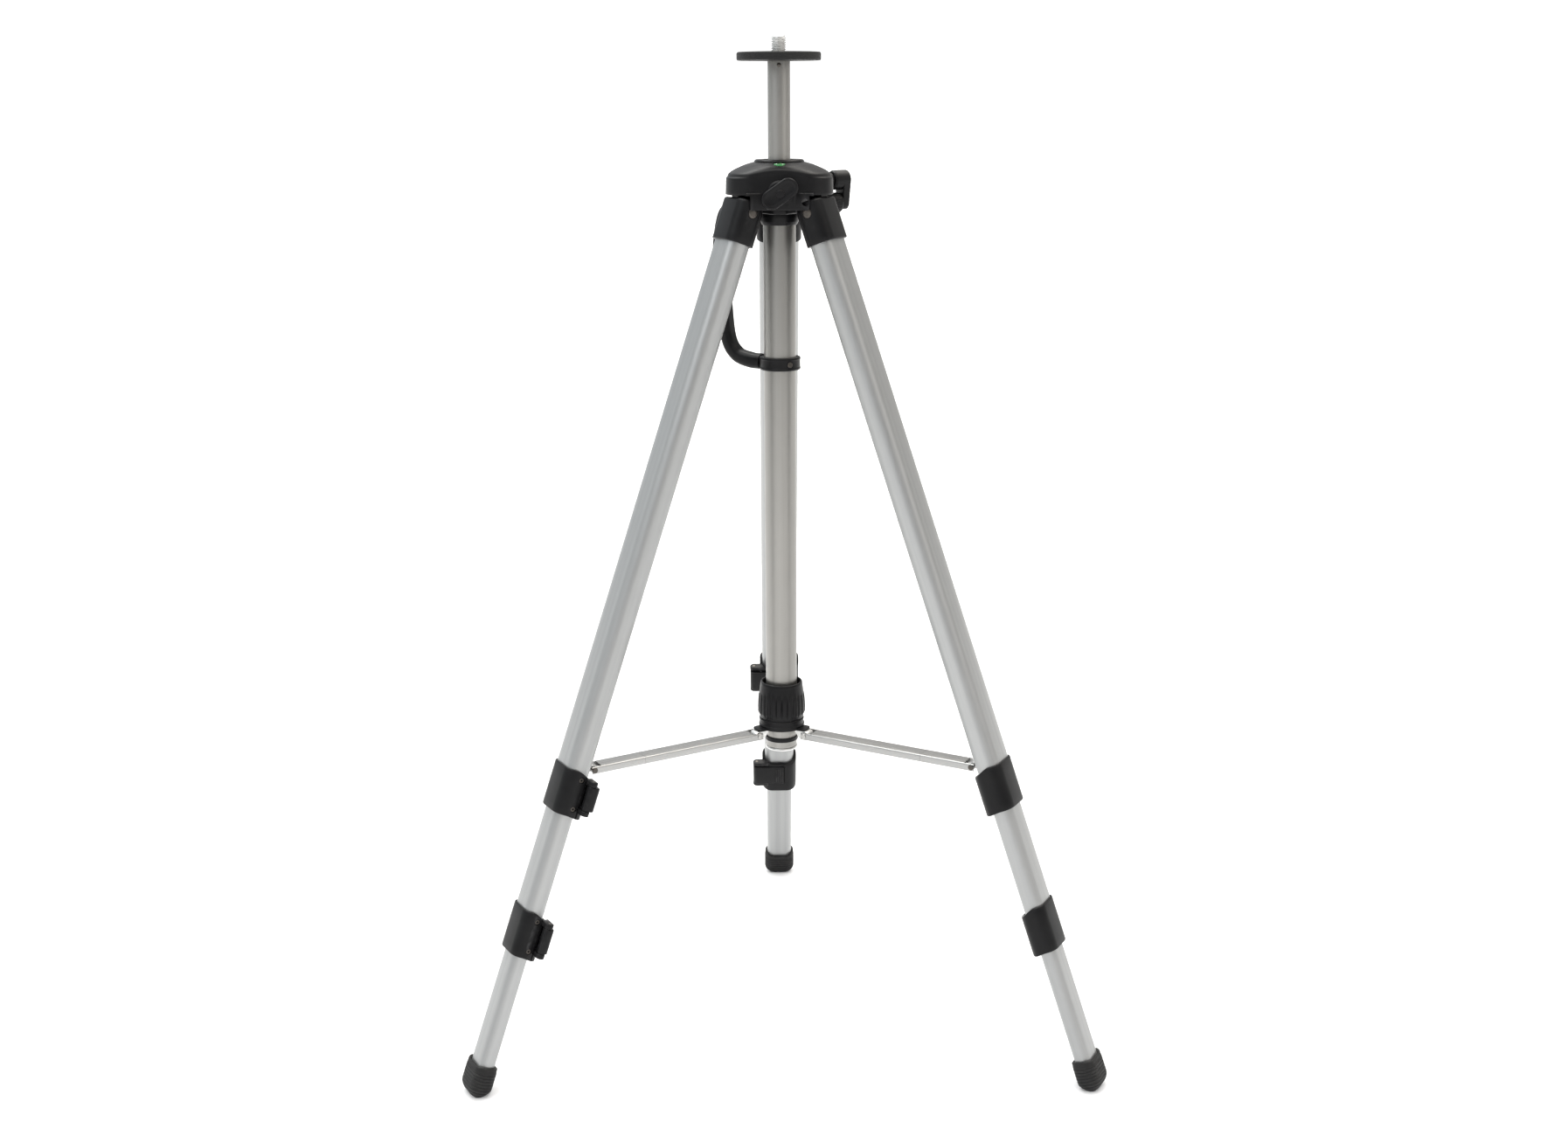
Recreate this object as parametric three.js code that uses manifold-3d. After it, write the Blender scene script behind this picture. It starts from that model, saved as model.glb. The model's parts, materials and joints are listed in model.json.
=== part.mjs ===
// Surveyor tripod: an aluminium elevating tripod for a laser level, standing with its legs spread.
// Millimetres, +Z up. The column stands on the Z axis until the last lines, which move the whole
// group so that its box is centred on the origin and the feet rest on z = 0.
import * as THREE from "three";
import { mergeVertices } from "three/addons/utils/BufferGeometryUtils.js";
import Module from "manifold-3d";

const wasm = await Module();
wasm.setup();

// ---- driving dimensions ----
const GAP = 0.3; // running clearance between neighbours
const SPLAY = THREE.MathUtils.degToRad(20.33); // leg angle from the vertical
const LEG_AZIMUTH = { left: 210, right: 330, rear: 90 };
const PIVOT_Z = 946; // leg hinge height
const PIVOT_R = 47.2; // leg hinge distance from the column axis

const COLUMN_R = 12;
const COLUMN_TOP = 1103;
const COLUMN_BOTTOM = 460;
const PLATE_R = 45;
const PLATE_THICK = 9;
const THREAD_R = 15.875 / 2; // 5/8"-11 instrument thread
const THREAD_LONG = 17;

const TUBE_R = 17.75; // fixed centre tube
const TUBE_BORE = 16.15;
const TUBE_TOP = 936;
const TUBE_BOTTOM = 334;
const COLLAR_R = 21.5; // collar that joins the tube to the head

const HEAD_TOP = 1000;
const HEAD_RIM = { r: 60, z: 986 }; // where the roof's slope ends
const HEAD_BOTTOM = 944;
const DRUM_R = 39; // the head's round core
const HOOD_UNDERSIDE = 964.6;
const LOBE_R = 28.5; // the hood's round corners over the legs
const LOBE_AT = 34;
const CRANK_Z = 976; // crank shaft height, above the leg sockets
const MODULE = 2; // rack and pinion tooth size
const PINION_TEETH = 9;
const PITCH_R = (MODULE * PINION_TEETH) / 2;
const RACK_PITCH_LINE = 14.3; // distance of the rack's pitch line from the column axis
const PINION_OFFSET = RACK_PITCH_LINE + PITCH_R + 0.25;
const RACK_AZIMUTH = 120;
const HANDLE_AZIMUTH = 150;

const HUB_PIVOT_R = 34;
const HUB_R = 26.5;
const STRUT_Z = 352; // height of both strut pivots
const HUB_TOP = STRUT_Z + 16.5;
const STRUT_WIDE = 20;
const STRUT_TALL = 8;
const BRACKET_REACH = 22; // strut pivot, inward of the leg axis

// Leg sections: across the leg, through the leg, corner radius, wall
const UPPER = { wide: 44.5, deep: 28, corner: 12, wall: 1.5 };
const MIDDLE = { wide: 39, deep: 24, corner: 10.5, wall: 1.5 };
const LOWER = { wide: 33.3, deep: 19.3, corner: 8.8, wall: 1.5 };
// Stations along the leg, measured down its axis from the hinge
const SOCKET_END = 34;
const UPPER_SPAN = [12, 655];
const UPPER_LOCK = { top: 631, bottom: 682, deep: 38, wide: 54 };
const MIDDLE_SPAN = [238, 818];
const LOWER_LOCK = { top: 794, bottom: 846, deep: 34, wide: 49 };
const LOWER_SPAN = [420, 990];
const BOOT_TOP = 972;

// ---- materials ----
const finish = (color, roughness, metalness) =>
  new THREE.MeshStandardMaterial({ color, roughness, metalness });
const anodised = finish(0xa9aba9, 0.42, 0.85);
const brightMetal = finish(0xc9c9c7, 0.35, 0.9);
const blackPlastic = finish(0x232325, 0.5, 0.0);
const blackRubber = finish(0x1b1b1d, 0.8, 0.0);
const steel = finish(0x8c8c8c, 0.4, 1.0);
const greenVial = finish(0x9fd23c, 0.15, 0.0);

// ---- solid helpers ----
function solidOf(geometry) {
  const bare = geometry.index ? geometry.toNonIndexed() : geometry.clone();
  bare.deleteAttribute("normal");
  bare.deleteAttribute("uv");
  const merged = mergeVertices(bare, 1e-4);
  return new wasm.Manifold(
    new wasm.Mesh({
      numProp: 3,
      vertProperties: merged.attributes.position.array,
      triVerts: new Uint32Array(merged.index.array),
    }),
  );
}

function geometryOf(solid) {
  const mesh = solid.getMesh();
  const geometry = new THREE.BufferGeometry();
  geometry.setAttribute("position", new THREE.BufferAttribute(mesh.vertProperties, 3));
  geometry.setIndex(new THREE.BufferAttribute(mesh.triVerts, 1));
  return geometry;
}

const join = (first, ...rest) =>
  geometryOf(rest.reduce((sum, g) => sum.add(solidOf(g)), solidOf(first)));
const cut = (first, ...rest) =>
  geometryOf(rest.reduce((sum, g) => sum.subtract(solidOf(g)), solidOf(first)));
const common = (a, b) => geometryOf(solidOf(a).intersect(solidOf(b)));

// A solid of revolution about Z; its profile is a list of [radius, height], closed on itself or the axis.
const lathe = (profile, segments = 28) =>
  new THREE.LatheGeometry(
    profile.map(([r, z]) => new THREE.Vector2(r, z)),
    segments,
  ).rotateX(Math.PI / 2);

const ring = (outer, inner, low, high, segments = 28) =>
  lathe([[inner, low], [outer, low], [outer, high], [inner, high], [inner, low]], segments);

const disc = (radius, low, high, segments = 28) =>
  lathe([[0, low], [radius, low], [radius, high], [0, high]], segments);

const block = (x, y, z, cx = 0, cy = 0, cz = 0) =>
  new THREE.BoxGeometry(x, y, z).translate(cx, cy, cz);

// A round bar along local X, Y or Z
function bar(axis, radius, from, to, segments = 12) {
  const g = new THREE.CylinderGeometry(radius, radius, to - from, segments);
  g.translate(0, (from + to) / 2, 0);
  if (axis === "x") g.rotateZ(-Math.PI / 2);
  if (axis === "z") g.rotateX(Math.PI / 2);
  return g;
}

// A rectangle with round corners, centred; deep lies along X (through the leg), wide along Y
function roundedRect(deep, wide, corner) {
  const shape = new THREE.Shape();
  const x = deep / 2 - corner;
  const y = wide / 2 - corner;
  shape.absarc(x, y, corner, 0, Math.PI / 2, false);
  shape.absarc(-x, y, corner, Math.PI / 2, Math.PI, false);
  shape.absarc(-x, -y, corner, Math.PI, 1.5 * Math.PI, false);
  shape.absarc(x, -y, corner, 1.5 * Math.PI, 2 * Math.PI, false);
  return shape;
}

// Each round corner gets two spans for every curve segment
const prism = (shape, low, high, curveSegments = 2) =>
  new THREE.ExtrudeGeometry(shape, {
    depth: high - low,
    bevelEnabled: false,
    curveSegments,
  }).translate(0, 0, low);

const sectionPrism = (s, grow, low, high) =>
  prism(roundedRect(s.deep + 2 * grow, s.wide + 2 * grow, s.corner + grow), low, high);

// A leg tube between two stations below the hinge
function legTube(section, [top, bottom]) {
  const inside = -section.wall;
  return cut(
    sectionPrism(section, 0, -bottom, -top),
    sectionPrism(section, inside, -bottom - 1, -top + 1),
  );
}

// ---- scene graph ----
const tripod = new THREE.Group();

function add(parent, name, geometry, material) {
  const mesh = new THREE.Mesh(geometry, material);
  mesh.name = name;
  parent.add(mesh);
  return mesh;
}

function turnedGroup(parent, azimuth) {
  const group = new THREE.Group();
  group.rotation.z = THREE.MathUtils.degToRad(azimuth);
  parent.add(group);
  return group;
}

// ---- elevating column: screw, plate, tube, rack, end stop ----
{
  const plateTop = COLUMN_TOP + PLATE_THICK;
  const screwTop = plateTop + THREAD_LONG;
  const stem = 6;
  add(
    tripod,
    "instrument_screw",
    lathe([
      [0, COLUMN_TOP + GAP],
      [THREAD_R, COLUMN_TOP + GAP],
      [THREAD_R, screwTop - 2],
      [THREAD_R - 1.6, screwTop],
      [0, screwTop],
    ]),
    brightMetal,
  );
  add(
    tripod,
    "platform_plate",
    lathe([
      [THREAD_R + GAP, COLUMN_TOP + GAP],
      [PLATE_R - 0.7, COLUMN_TOP + GAP],
      [PLATE_R, COLUMN_TOP + 2],
      [PLATE_R, plateTop - 0.6],
      [PLATE_R - 0.6, plateTop],
      [THREAD_R + GAP, plateTop],
      [THREAD_R + GAP, COLUMN_TOP + GAP],
    ], 48),
    blackPlastic,
  );
  add(
    tripod,
    "column_tube",
    ring(COLUMN_R, COLUMN_R - 1.5, COLUMN_BOTTOM, COLUMN_TOP, 36),
    anodised,
  );
  add(
    tripod,
    "column_end_stop",
    lathe([
      [0, COLUMN_BOTTOM - 8],
      [COLUMN_R + 3, COLUMN_BOTTOM - 8],
      [COLUMN_R + 3, COLUMN_BOTTOM - GAP],
      [COLUMN_R - 1.8, COLUMN_BOTTOM - GAP],
      [COLUMN_R - 1.8, COLUMN_BOTTOM + stem],
      [0, COLUMN_BOTTOM + stem],
    ]),
    blackPlastic,
  );
}

// The toothed rack lies along the column's side; its teeth point outward.
const RACK_TEETH = 69;
const TOOTH_PITCH = Math.PI * MODULE;
const TOOTH_HIGH = 1.15; // above and below the pitch line
{
  const rackMiddle = 869;
  const flank = 0.42; // half the tooth's taper at the pitch line
  const half = TOOTH_PITCH / 4 - 0.25; // half tooth thickness, less backlash
  const outline = new THREE.Shape();
  const low = rackMiddle - (RACK_TEETH * TOOTH_PITCH) / 2;
  const root = RACK_PITCH_LINE - TOOTH_HIGH;
  const tip = RACK_PITCH_LINE + TOOTH_HIGH;
  const back = COLUMN_R + GAP;
  // A tooth gap faces the crank shaft's height, so that a pinion tooth meets it there
  const phase = (CRANK_Z - low) / TOOTH_PITCH - 0.5;
  const first = low + (phase - Math.floor(phase)) * TOOTH_PITCH;
  outline.moveTo(back, low - TOOTH_PITCH);
  outline.lineTo(root, low - TOOTH_PITCH);
  for (let i = 0; i < RACK_TEETH; i++) {
    const z = first + i * TOOTH_PITCH;
    outline.lineTo(root, z - half - flank);
    outline.lineTo(tip, z - half + flank);
    outline.lineTo(tip, z + half - flank);
    outline.lineTo(root, z + half + flank);
  }
  const high = first + RACK_TEETH * TOOTH_PITCH;
  outline.lineTo(root, high);
  outline.lineTo(back, high);
  const rackWide = 7;
  const rack = new THREE.ExtrudeGeometry(outline, { depth: rackWide, bevelEnabled: false });
  rack.translate(0, 0, -rackWide / 2).rotateX(Math.PI / 2);
  add(turnedGroup(tripod, RACK_AZIMUTH), "column_rack", rack, steel);
}

// ---- fixed centre tube with its collar and end ring ----
add(tripod, "centre_tube", ring(TUBE_R, TUBE_BORE, TUBE_BOTTOM, TUBE_TOP, 40), anodised);
add(
  tripod,
  "tube_collar",
  lathe([
    [TUBE_R + GAP, TUBE_TOP - 10],
    [COLLAR_R - 0.3, TUBE_TOP - 10],
    [COLLAR_R - 0.3, TUBE_TOP - 7],
    [COLLAR_R - 1.1, TUBE_TOP - 6],
    [COLLAR_R, TUBE_TOP],
    [COLLAR_R, HEAD_BOTTOM - GAP],
    [TUBE_R - 1, HEAD_BOTTOM - GAP],
    [TUBE_R - 1, TUBE_TOP + GAP],
    [TUBE_R + GAP, TUBE_TOP + GAP],
    [TUBE_R + GAP, TUBE_TOP - 10],
  ]),
  blackPlastic,
);
add(
  tripod,
  "tube_end_ring",
  lathe([
    [13.5, TUBE_BOTTOM - 3],
    [18.7, TUBE_BOTTOM - 3],
    [18.7, TUBE_BOTTOM - GAP],
    [TUBE_BORE - GAP, TUBE_BOTTOM - GAP],
    [TUBE_BORE - GAP, TUBE_BOTTOM + 12],
    [13.5, TUBE_BOTTOM + 12],
    [13.5, TUBE_BOTTOM - 3],
  ]),
  brightMetal,
);

// ---- head ----
const LOCK_Z = 967; // column lock
const LOCK_TILT = THREE.MathUtils.degToRad(35);
const KNOB_BACK = -48.5;
const LUG_HALF = 7; // half thickness of the lugs that carry the leg pins
const LUG_R = 8;
const PIN_R = 3;
const LEVEL_R = 6.6;
const BUSH_R = 27; // the bush's flange
const BUSH_SEAT = 985; // its seat in the head
const APRON = { half: 36, back: -20, corner: -50, hollow: -43.5, low: 949 };
const LEVEL_Y = -31.5;
{
  const drum = disc(DRUM_R, HEAD_BOTTOM, HEAD_TOP, 48);
  // In plan the hood is a triangle whose round corners lie over the legs
  const plan = new THREE.Shape();
  for (const azimuth of [90, 210, 330]) {
    const a = THREE.MathUtils.degToRad(azimuth);
    plan.absarc(LOBE_AT * Math.cos(a), LOBE_AT * Math.sin(a), LOBE_R, a - Math.PI / 3, a + Math.PI / 3);
  }
  const hood = prism(plan, HOOD_UNDERSIDE, HEAD_TOP, 6);
  // The apron hangs below the hood between the front legs, its face slightly hollow
  const apronPlan = new THREE.Shape();
  apronPlan.moveTo(-APRON.half, APRON.back);
  apronPlan.lineTo(-APRON.half, APRON.corner);
  apronPlan.quadraticCurveTo(0, APRON.hollow, APRON.half, APRON.corner);
  apronPlan.lineTo(APRON.half, APRON.back);
  const apron = prism(apronPlan, APRON.low, HOOD_UNDERSIDE + 1, 8);
  const handleBoss = block(14, 18, 16, DRUM_R - 2, 0, HEAD_BOTTOM + 8).rotateZ(
    THREE.MathUtils.degToRad(HANDLE_AZIMUTH),
  );
  const roof = lathe([
    [0, HEAD_BOTTOM - 50],
    [90, HEAD_BOTTOM - 50],
    [90, HEAD_RIM.z - 25],
    [HEAD_RIM.r, HEAD_RIM.z],
    [BUSH_R + 1, HEAD_TOP],
    [0, HEAD_TOP],
  ], 48);
  const body = common(join(drum, hood, apron, handleBoss), roof);
  // Under each lobe the socket swings in a pocket, on a lug left standing in its middle
  const pocketIn = PIVOT_R - 22;
  const pockets = Object.values(LEG_AZIMUTH).map((azimuth) =>
    block(60, 54, 60, pocketIn + 30, 0, HOOD_UNDERSIDE - 30).rotateZ(
      THREE.MathUtils.degToRad(azimuth),
    ),
  );
  const lugs = Object.values(LEG_AZIMUTH).map((azimuth) =>
    join(
      bar("y", LUG_R, -LUG_HALF, LUG_HALF).translate(PIVOT_R, 0, PIVOT_Z),
      block(2 * LUG_R, 2 * LUG_HALF, 24, PIVOT_R, 0, PIVOT_Z + 12),
    ).rotateZ(THREE.MathUtils.degToRad(azimuth)),
  );
  const pinBores = Object.values(LEG_AZIMUTH).map((azimuth) =>
    bar("y", PIN_R + GAP, -LUG_HALF - 1, LUG_HALF + 1)
      .translate(PIVOT_R, 0, PIVOT_Z)
      .rotateZ(THREE.MathUtils.degToRad(azimuth)),
  );
  const towardRack = THREE.MathUtils.degToRad(RACK_AZIMUTH);
  const rackSlot = block(18, 8, 120, 9, 0, 970).rotateZ(towardRack);
  const pinionRoom = bar("y", PITCH_R + 3, -7, 7)
    .translate(PINION_OFFSET, 0, CRANK_Z)
    .rotateZ(towardRack);
  const shaftBore = bar("y", 4 + GAP, -90, 12)
    .translate(PINION_OFFSET, 0, CRANK_Z)
    .rotateZ(towardRack);
  const lockBore = bar("y", 4 + GAP, -60, 0).translate(0, 0, LOCK_Z);
  const levelSeat = bar("z", LEVEL_R + GAP, 990, 1010, 20).translate(0, LEVEL_Y, 0);
  add(
    tripod,
    "head_body",
    cut(
      join(cut(body, ...pockets), ...lugs),
      disc(COLUMN_R + GAP, 900, 1010, 36),
      disc(18.5, BUSH_SEAT, 1010, 36),
      ...pinBores,
      rackSlot,
      pinionRoom,
      shaftBore,
      lockBore,
      levelSeat,
    ),
    blackPlastic,
  );
  add(
    tripod,
    "head_bush",
    cut(
      lathe([
        [COLUMN_R + GAP, BUSH_SEAT + GAP],
        [18.2, BUSH_SEAT + GAP],
        [18.2, HEAD_TOP + GAP],
        [BUSH_R, HEAD_TOP + GAP],
        [BUSH_R, HEAD_TOP + 1.6],
        [BUSH_R - 1, HEAD_TOP + 2.8],
        [COLUMN_R + GAP, HEAD_TOP + 2.8],
        [COLUMN_R + GAP, BUSH_SEAT + GAP],
      ], 40),
      rackSlot,
    ),
    blackPlastic,
  );
  add(
    tripod,
    "level_housing",
    lathe([
      [0, 990 + GAP],
      [LEVEL_R, 990 + GAP],
      [LEVEL_R, 998.5],
      [LEVEL_R - 1, 999.5],
      [LEVEL_R - 1, 993],
      [0, 993],
    ], 20).translate(0, LEVEL_Y, 0),
    blackPlastic,
  );
  add(
    tripod,
    "level_vial",
    lathe([
      [0, 993 + GAP],
      [LEVEL_R - 1 - GAP, 993 + GAP],
      [LEVEL_R - 1 - GAP, 998],
      [LEVEL_R - 3, 999.2],
      [0, 999.5],
    ], 20).translate(0, LEVEL_Y, 0),
    greenVial,
  );
}

// ---- column lock: a wing knob on a screw at the front ----
{
  const stemBack = -(COLUMN_R + 1);
  add(tripod, "lock_screw", bar("y", 4, KNOB_BACK, stemBack).translate(0, 0, LOCK_Z), steel);
  const wing = roundedRect(42, 21, 10.4);
  const knob = prism(wing, 0, 12, 3);
  knob.rotateZ(LOCK_TILT).rotateX(Math.PI / 2).translate(0, KNOB_BACK - GAP, LOCK_Z);
  add(tripod, "lock_knob", knob, blackPlastic);
}

// ---- crank: pinion shaft, arm and grip, on a line between the right and rear legs ----
const CRANK_AZIMUTH = RACK_AZIMUTH - 90;
const CRANK_ARM_AT = 92; // arm's inner face along the shaft
const CRANK_HUB_R = 11;
const GRIP_DROP = 25; // the arm hangs down, and the grip is at its lower end
{
  const crank = turnedGroup(tripod, CRANK_AZIMUTH);
  // Here local X runs outward along the shaft and local Y towards the rack
  const teeth = new THREE.Shape();
  const toothHalf = 0.5 * (Math.PI / PINION_TEETH) - 0.028; // half tooth angle, less backlash
  const rootR = PITCH_R - TOOTH_HIGH - 0.35;
  const tipR = PITCH_R + TOOTH_HIGH - 0.35;
  for (let i = 0; i < PINION_TEETH; i++) {
    // local angle pi faces the rack
    const middle = Math.PI + (i * 2 * Math.PI) / PINION_TEETH;
    const corners = [
      [rootR, -toothHalf * 1.35],
      [tipR, -toothHalf * 0.5],
      [tipR, toothHalf * 0.5],
      [rootR, toothHalf * 1.35],
    ];
    for (const [r, a] of corners) {
      const x = r * Math.cos(middle + a);
      const y = r * Math.sin(middle + a);
      if (i === 0 && a === -toothHalf * 1.35) teeth.moveTo(x, y);
      else teeth.lineTo(x, y);
    }
  }
  const pinionHalf = 5;
  const pinion = alongX(prism(teeth, -pinionHalf, pinionHalf));
  const shaft = bar("x", 4, -10, CRANK_ARM_AT + 4, 20);
  add(
    crank,
    "crank_shaft",
    join(pinion, shaft).translate(0, PINION_OFFSET, CRANK_Z),
    steel,
  );
  const armWide = 16;
  const armThick = 9;
  const armShape = roundedRect(armWide, GRIP_DROP + armWide, armWide / 2 - 0.05);
  const armGeometry = cut(
    join(
      alongX(prism(armShape, 0, armThick, 3).translate(0, -GRIP_DROP / 2, 0)),
      bar("x", CRANK_HUB_R, -CRANK_HUB_R, armThick, 24),
    ),
    bar("x", 4 + GAP, -CRANK_HUB_R - 1, armThick - 3, 20),
  );
  armGeometry.translate(CRANK_ARM_AT, PINION_OFFSET, CRANK_Z);
  add(crank, "crank_arm", armGeometry, blackPlastic);
  const grip = bar("x", 11.5, -21 - GAP, -GAP, 24).translate(
    CRANK_ARM_AT,
    PINION_OFFSET,
    CRANK_Z - GRIP_DROP,
  );
  add(crank, "crank_grip", grip, blackPlastic);
}

// Extrusion direction to X, shape X to Y, shape Y to Z
function alongX(g) {
  return g.applyMatrix4(new THREE.Matrix4().set(0, 0, 1, 0, 1, 0, 0, 0, 0, 1, 0, 0, 0, 0, 0, 1));
}

// ---- carrying handle: a bow from the head down to a ring on the centre tube ----
const HANDLE_RING = [774, 788];
{
  add(
    tripod,
    "handle_ring",
    ring(23, TUBE_R + GAP, HANDLE_RING[0], HANDLE_RING[1], 32),
    blackPlastic,
  );
  const path = new THREE.CatmullRomCurve3(
    [
      [46.5, 951],
      [55, 950.5],
      [68, 938],
      [75, 900],
      [71, 850],
      [66, 806],
      [55, 788],
      [38, 782],
      [23.4, 781],
    ].map(([r, z]) => new THREE.Vector3(r, 0, z)),
    false,
    "centripetal",
  );
  const section = roundedRect(17, 20, 6);
  const bow = new THREE.ExtrudeGeometry(section, {
    steps: 22,
    extrudePath: path,
    curveSegments: 1,
  });
  add(turnedGroup(tripod, HANDLE_AZIMUTH), "carrying_handle", bow, blackPlastic);
}

// ---- spreader hub and its twist nut ----
{
  const bore = TUBE_R + GAP;
  const lugR = 5.2;
  const lobes = Object.values(LEG_AZIMUTH).map((azimuth) =>
    join(
      block(18, 24, 3, 27, 0, STRUT_Z + 6.5),
      block(16, 13, 17, 25, 0, STRUT_Z - 2),
      bar("y", lugR, -6.5, 6.5).translate(HUB_PIVOT_R, 0, STRUT_Z - 1),
      bar("y", 2.2, -STRUT_WIDE / 2, STRUT_WIDE / 2).translate(HUB_PIVOT_R, 0, STRUT_Z),
      block(8, 13, 7, 33, 0, STRUT_Z + 2.5),
    ).rotateZ(THREE.MathUtils.degToRad(azimuth)),
  );
  add(
    tripod,
    "spreader_hub",
    cut(
      join(
        disc(19.2, STRUT_Z - 10.5, STRUT_Z - 5.5),
        disc(HUB_R, STRUT_Z + 5, HUB_TOP),
        ...lobes,
      ),
      disc(bore, 300, 400),
    ),
    blackPlastic,
  );
  const ribs = [];
  const ribCount = 16;
  for (let i = 0; i < ribCount; i++) {
    ribs.push(
      block(2.4, 4.2, 24, HUB_R, 0, HUB_TOP + 19.5).rotateZ((i * 2 * Math.PI) / ribCount),
    );
  }
  add(
    tripod,
    "twist_nut",
    join(
      lathe([
        [bore, HUB_TOP + GAP],
        [24.5, HUB_TOP + GAP],
        [24.5, HUB_TOP + 4.5],
        [26.9, HUB_TOP + 7],
        [26.4, HUB_TOP + 30.5],
        [24, HUB_TOP + 43.5],
        [21.8, HUB_TOP + 43.5],
        [21.8, HUB_TOP + 27.5],
        [bore, HUB_TOP + 23.5],
        [bore, HUB_TOP + GAP],
      ], 36),
      ...ribs,
    ),
    blackPlastic,
  );
}

// ---- struts: an inverted channel on the hub, running over a flat tie on the leg ----
const BRACKET_AT =
  (PIVOT_Z - STRUT_Z - BRACKET_REACH * Math.sin(SPLAY)) / Math.cos(SPLAY); // station down the leg
const BRACKET_R =
  PIVOT_R + BRACKET_AT * Math.sin(SPLAY) - BRACKET_REACH * Math.cos(SPLAY);
const STRUT_LONG = BRACKET_R - HUB_PIVOT_R;
const CHANNEL_LONG = STRUT_LONG - 62;
const TIE_LAP = 56; // how far the tie runs under the channel
const SHEET = 1;
const STRUT_TOP = 3.8; // channel's top face above its pins

function strutChannel() {
  const outer = block(CHANNEL_LONG + 3, STRUT_WIDE, STRUT_TALL, CHANNEL_LONG / 2 - 1.5, 0,
    STRUT_TOP - STRUT_TALL / 2);
  const inner = block(CHANNEL_LONG + 20, STRUT_WIDE - 2 * SHEET, STRUT_TALL,
    CHANNEL_LONG / 2, 0, STRUT_TOP - SHEET - STRUT_TALL / 2);
  const webRelief = block(12, STRUT_WIDE - 2 * SHEET, 4, 1.5, 0, STRUT_TOP);
  const pinBore = bar("y", 2.2 + GAP, -STRUT_WIDE, STRUT_WIDE);
  return cut(outer, inner, webRelief, pinBore);
}

function strutTie() {
  const low = STRUT_TOP - STRUT_TALL + 0.1;
  const start = CHANNEL_LONG - TIE_LAP;
  const plate = block(STRUT_LONG - start - 7, STRUT_WIDE - 2 * SHEET - 1, 1.2,
    (STRUT_LONG - 7 + start) / 2, 0, low + 0.6);
  const cheek = (side) =>
    join(
      block(7, 1.6, 6, STRUT_LONG - 5, side * 7.4, low + 3),
      bar("y", 3.4, -0.8, 0.8).translate(STRUT_LONG, side * 7.4, 0),
      block(6, 1.6, 6.4, STRUT_LONG - 2.5, side * 7.4, -0.6),
    );
  return cut(
    join(plate, cheek(1), cheek(-1)),
    bar("y", 2 + GAP, -12, 12).translate(STRUT_LONG, 0, 0),
  );
}

// ---- legs ----
// In a leg's own frame the hinge is the origin, the leg runs down -Z, X points to its outer face
// and Y is across it.
function socket() {
  const wide = 50;
  const deep = 34;
  const capR = deep / 2;
  const shell = join(
    sectionPrism({ deep, wide, corner: 13 }, 0, -SOCKET_END, -4),
    common(
      bar("y", capR, -wide / 2, wide / 2, 20),
      block(2 * capR + 2, wide, 2 * capR, 0, 0, capR - 6),
    ),
  );
  return cut(
    shell,
    sectionPrism(UPPER, GAP, -SOCKET_END - 1, -UPPER_SPAN[0] + 1),
    block(60, 2 * LUG_HALF + 1, 30, 0, 0, 15 - LUG_R - 1),
    bar("y", PIN_R + GAP, -30, 30),
  );
}

// A black clamp collar: it grips the thicker tube above and lets the thinner one slide below.
// Two ears at the inner corner carry the lever, which lies in a recess of the inner face.
const LEVER_X = -12; // lever pin, inward of the leg axis
const LEVER_R = 5;
const LEVER_PIN_R = 1.8;
const LEVER_THICK = 5;
const LEVER_ACROSS = -6; // how far across the inner face the lever reaches
const EAR_TOP = 7;
const EAR_BOTTOM = 16;
const EAR_LIFT = 8; // the lower ear stands this far above the collar's rim

const leverPinY = (wide) => wide / 2 + LEVER_R + 1;
const recessX = (deep) => -deep / 2 + 3;

function lockCollar(above, below, { top, bottom, deep, wide }) {
  const outer = sectionPrism({ deep, wide, corner: above.corner + 3 }, 0, -bottom, -top);
  const leverLow = -bottom + EAR_BOTTOM;
  const leverHigh = -top - EAR_TOP;
  const recess = block(20, 60, leverHigh - leverLow, recessX(deep) - 10, LEVER_ACROSS - 1 + 30,
    (leverHigh + leverLow) / 2);
  return cut(
    join(outer, ...leverEars(top, bottom, wide)),
    recess,
    sectionPrism(above, GAP, -top - 25 - GAP, -top + 1),
    sectionPrism(below, GAP, -bottom - 1, -top - 20),
  );
}

function leverEars(top, bottom, wide) {
  const y = leverPinY(wide);
  const reach = LEVER_R + 3;
  const ear = (low, high) =>
    join(
      bar("z", LEVER_R, low, high).translate(LEVER_X, y, 0),
      block(2 * LEVER_R, reach, high - low, LEVER_X, y - reach / 2, (low + high) / 2),
    );
  return [
    ear(-bottom + EAR_LIFT, -bottom + EAR_BOTTOM),
    ear(-top - EAR_TOP, -top),
    bar("z", LEVER_PIN_R, -bottom + EAR_LIFT + 1, -top - 1).translate(LEVER_X, y, 0),
  ];
}

function lockLever({ top, bottom, deep, wide }) {
  const y = leverPinY(wide);
  const low = -bottom + EAR_BOTTOM + GAP;
  const high = -top - EAR_TOP - GAP;
  const tall = high - low;
  const z = (high + low) / 2;
  const face = recessX(deep) - GAP;
  const back = face - LEVER_THICK;
  return cut(
    join(
      bar("z", LEVER_R - 0.3, low, high).translate(LEVER_X, y, 0),
      block(LEVER_THICK, y + 4 - LEVER_ACROSS, tall, (face + back) / 2, (y + 4 + LEVER_ACROSS) / 2, z),
      block(LEVER_X - face + 1, 8, tall, (LEVER_X + face - 1) / 2, y, z),
    ),
    bar("z", LEVER_PIN_R + GAP, low - 1, high + 1).translate(LEVER_X, y, 0),
  );
}

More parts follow.
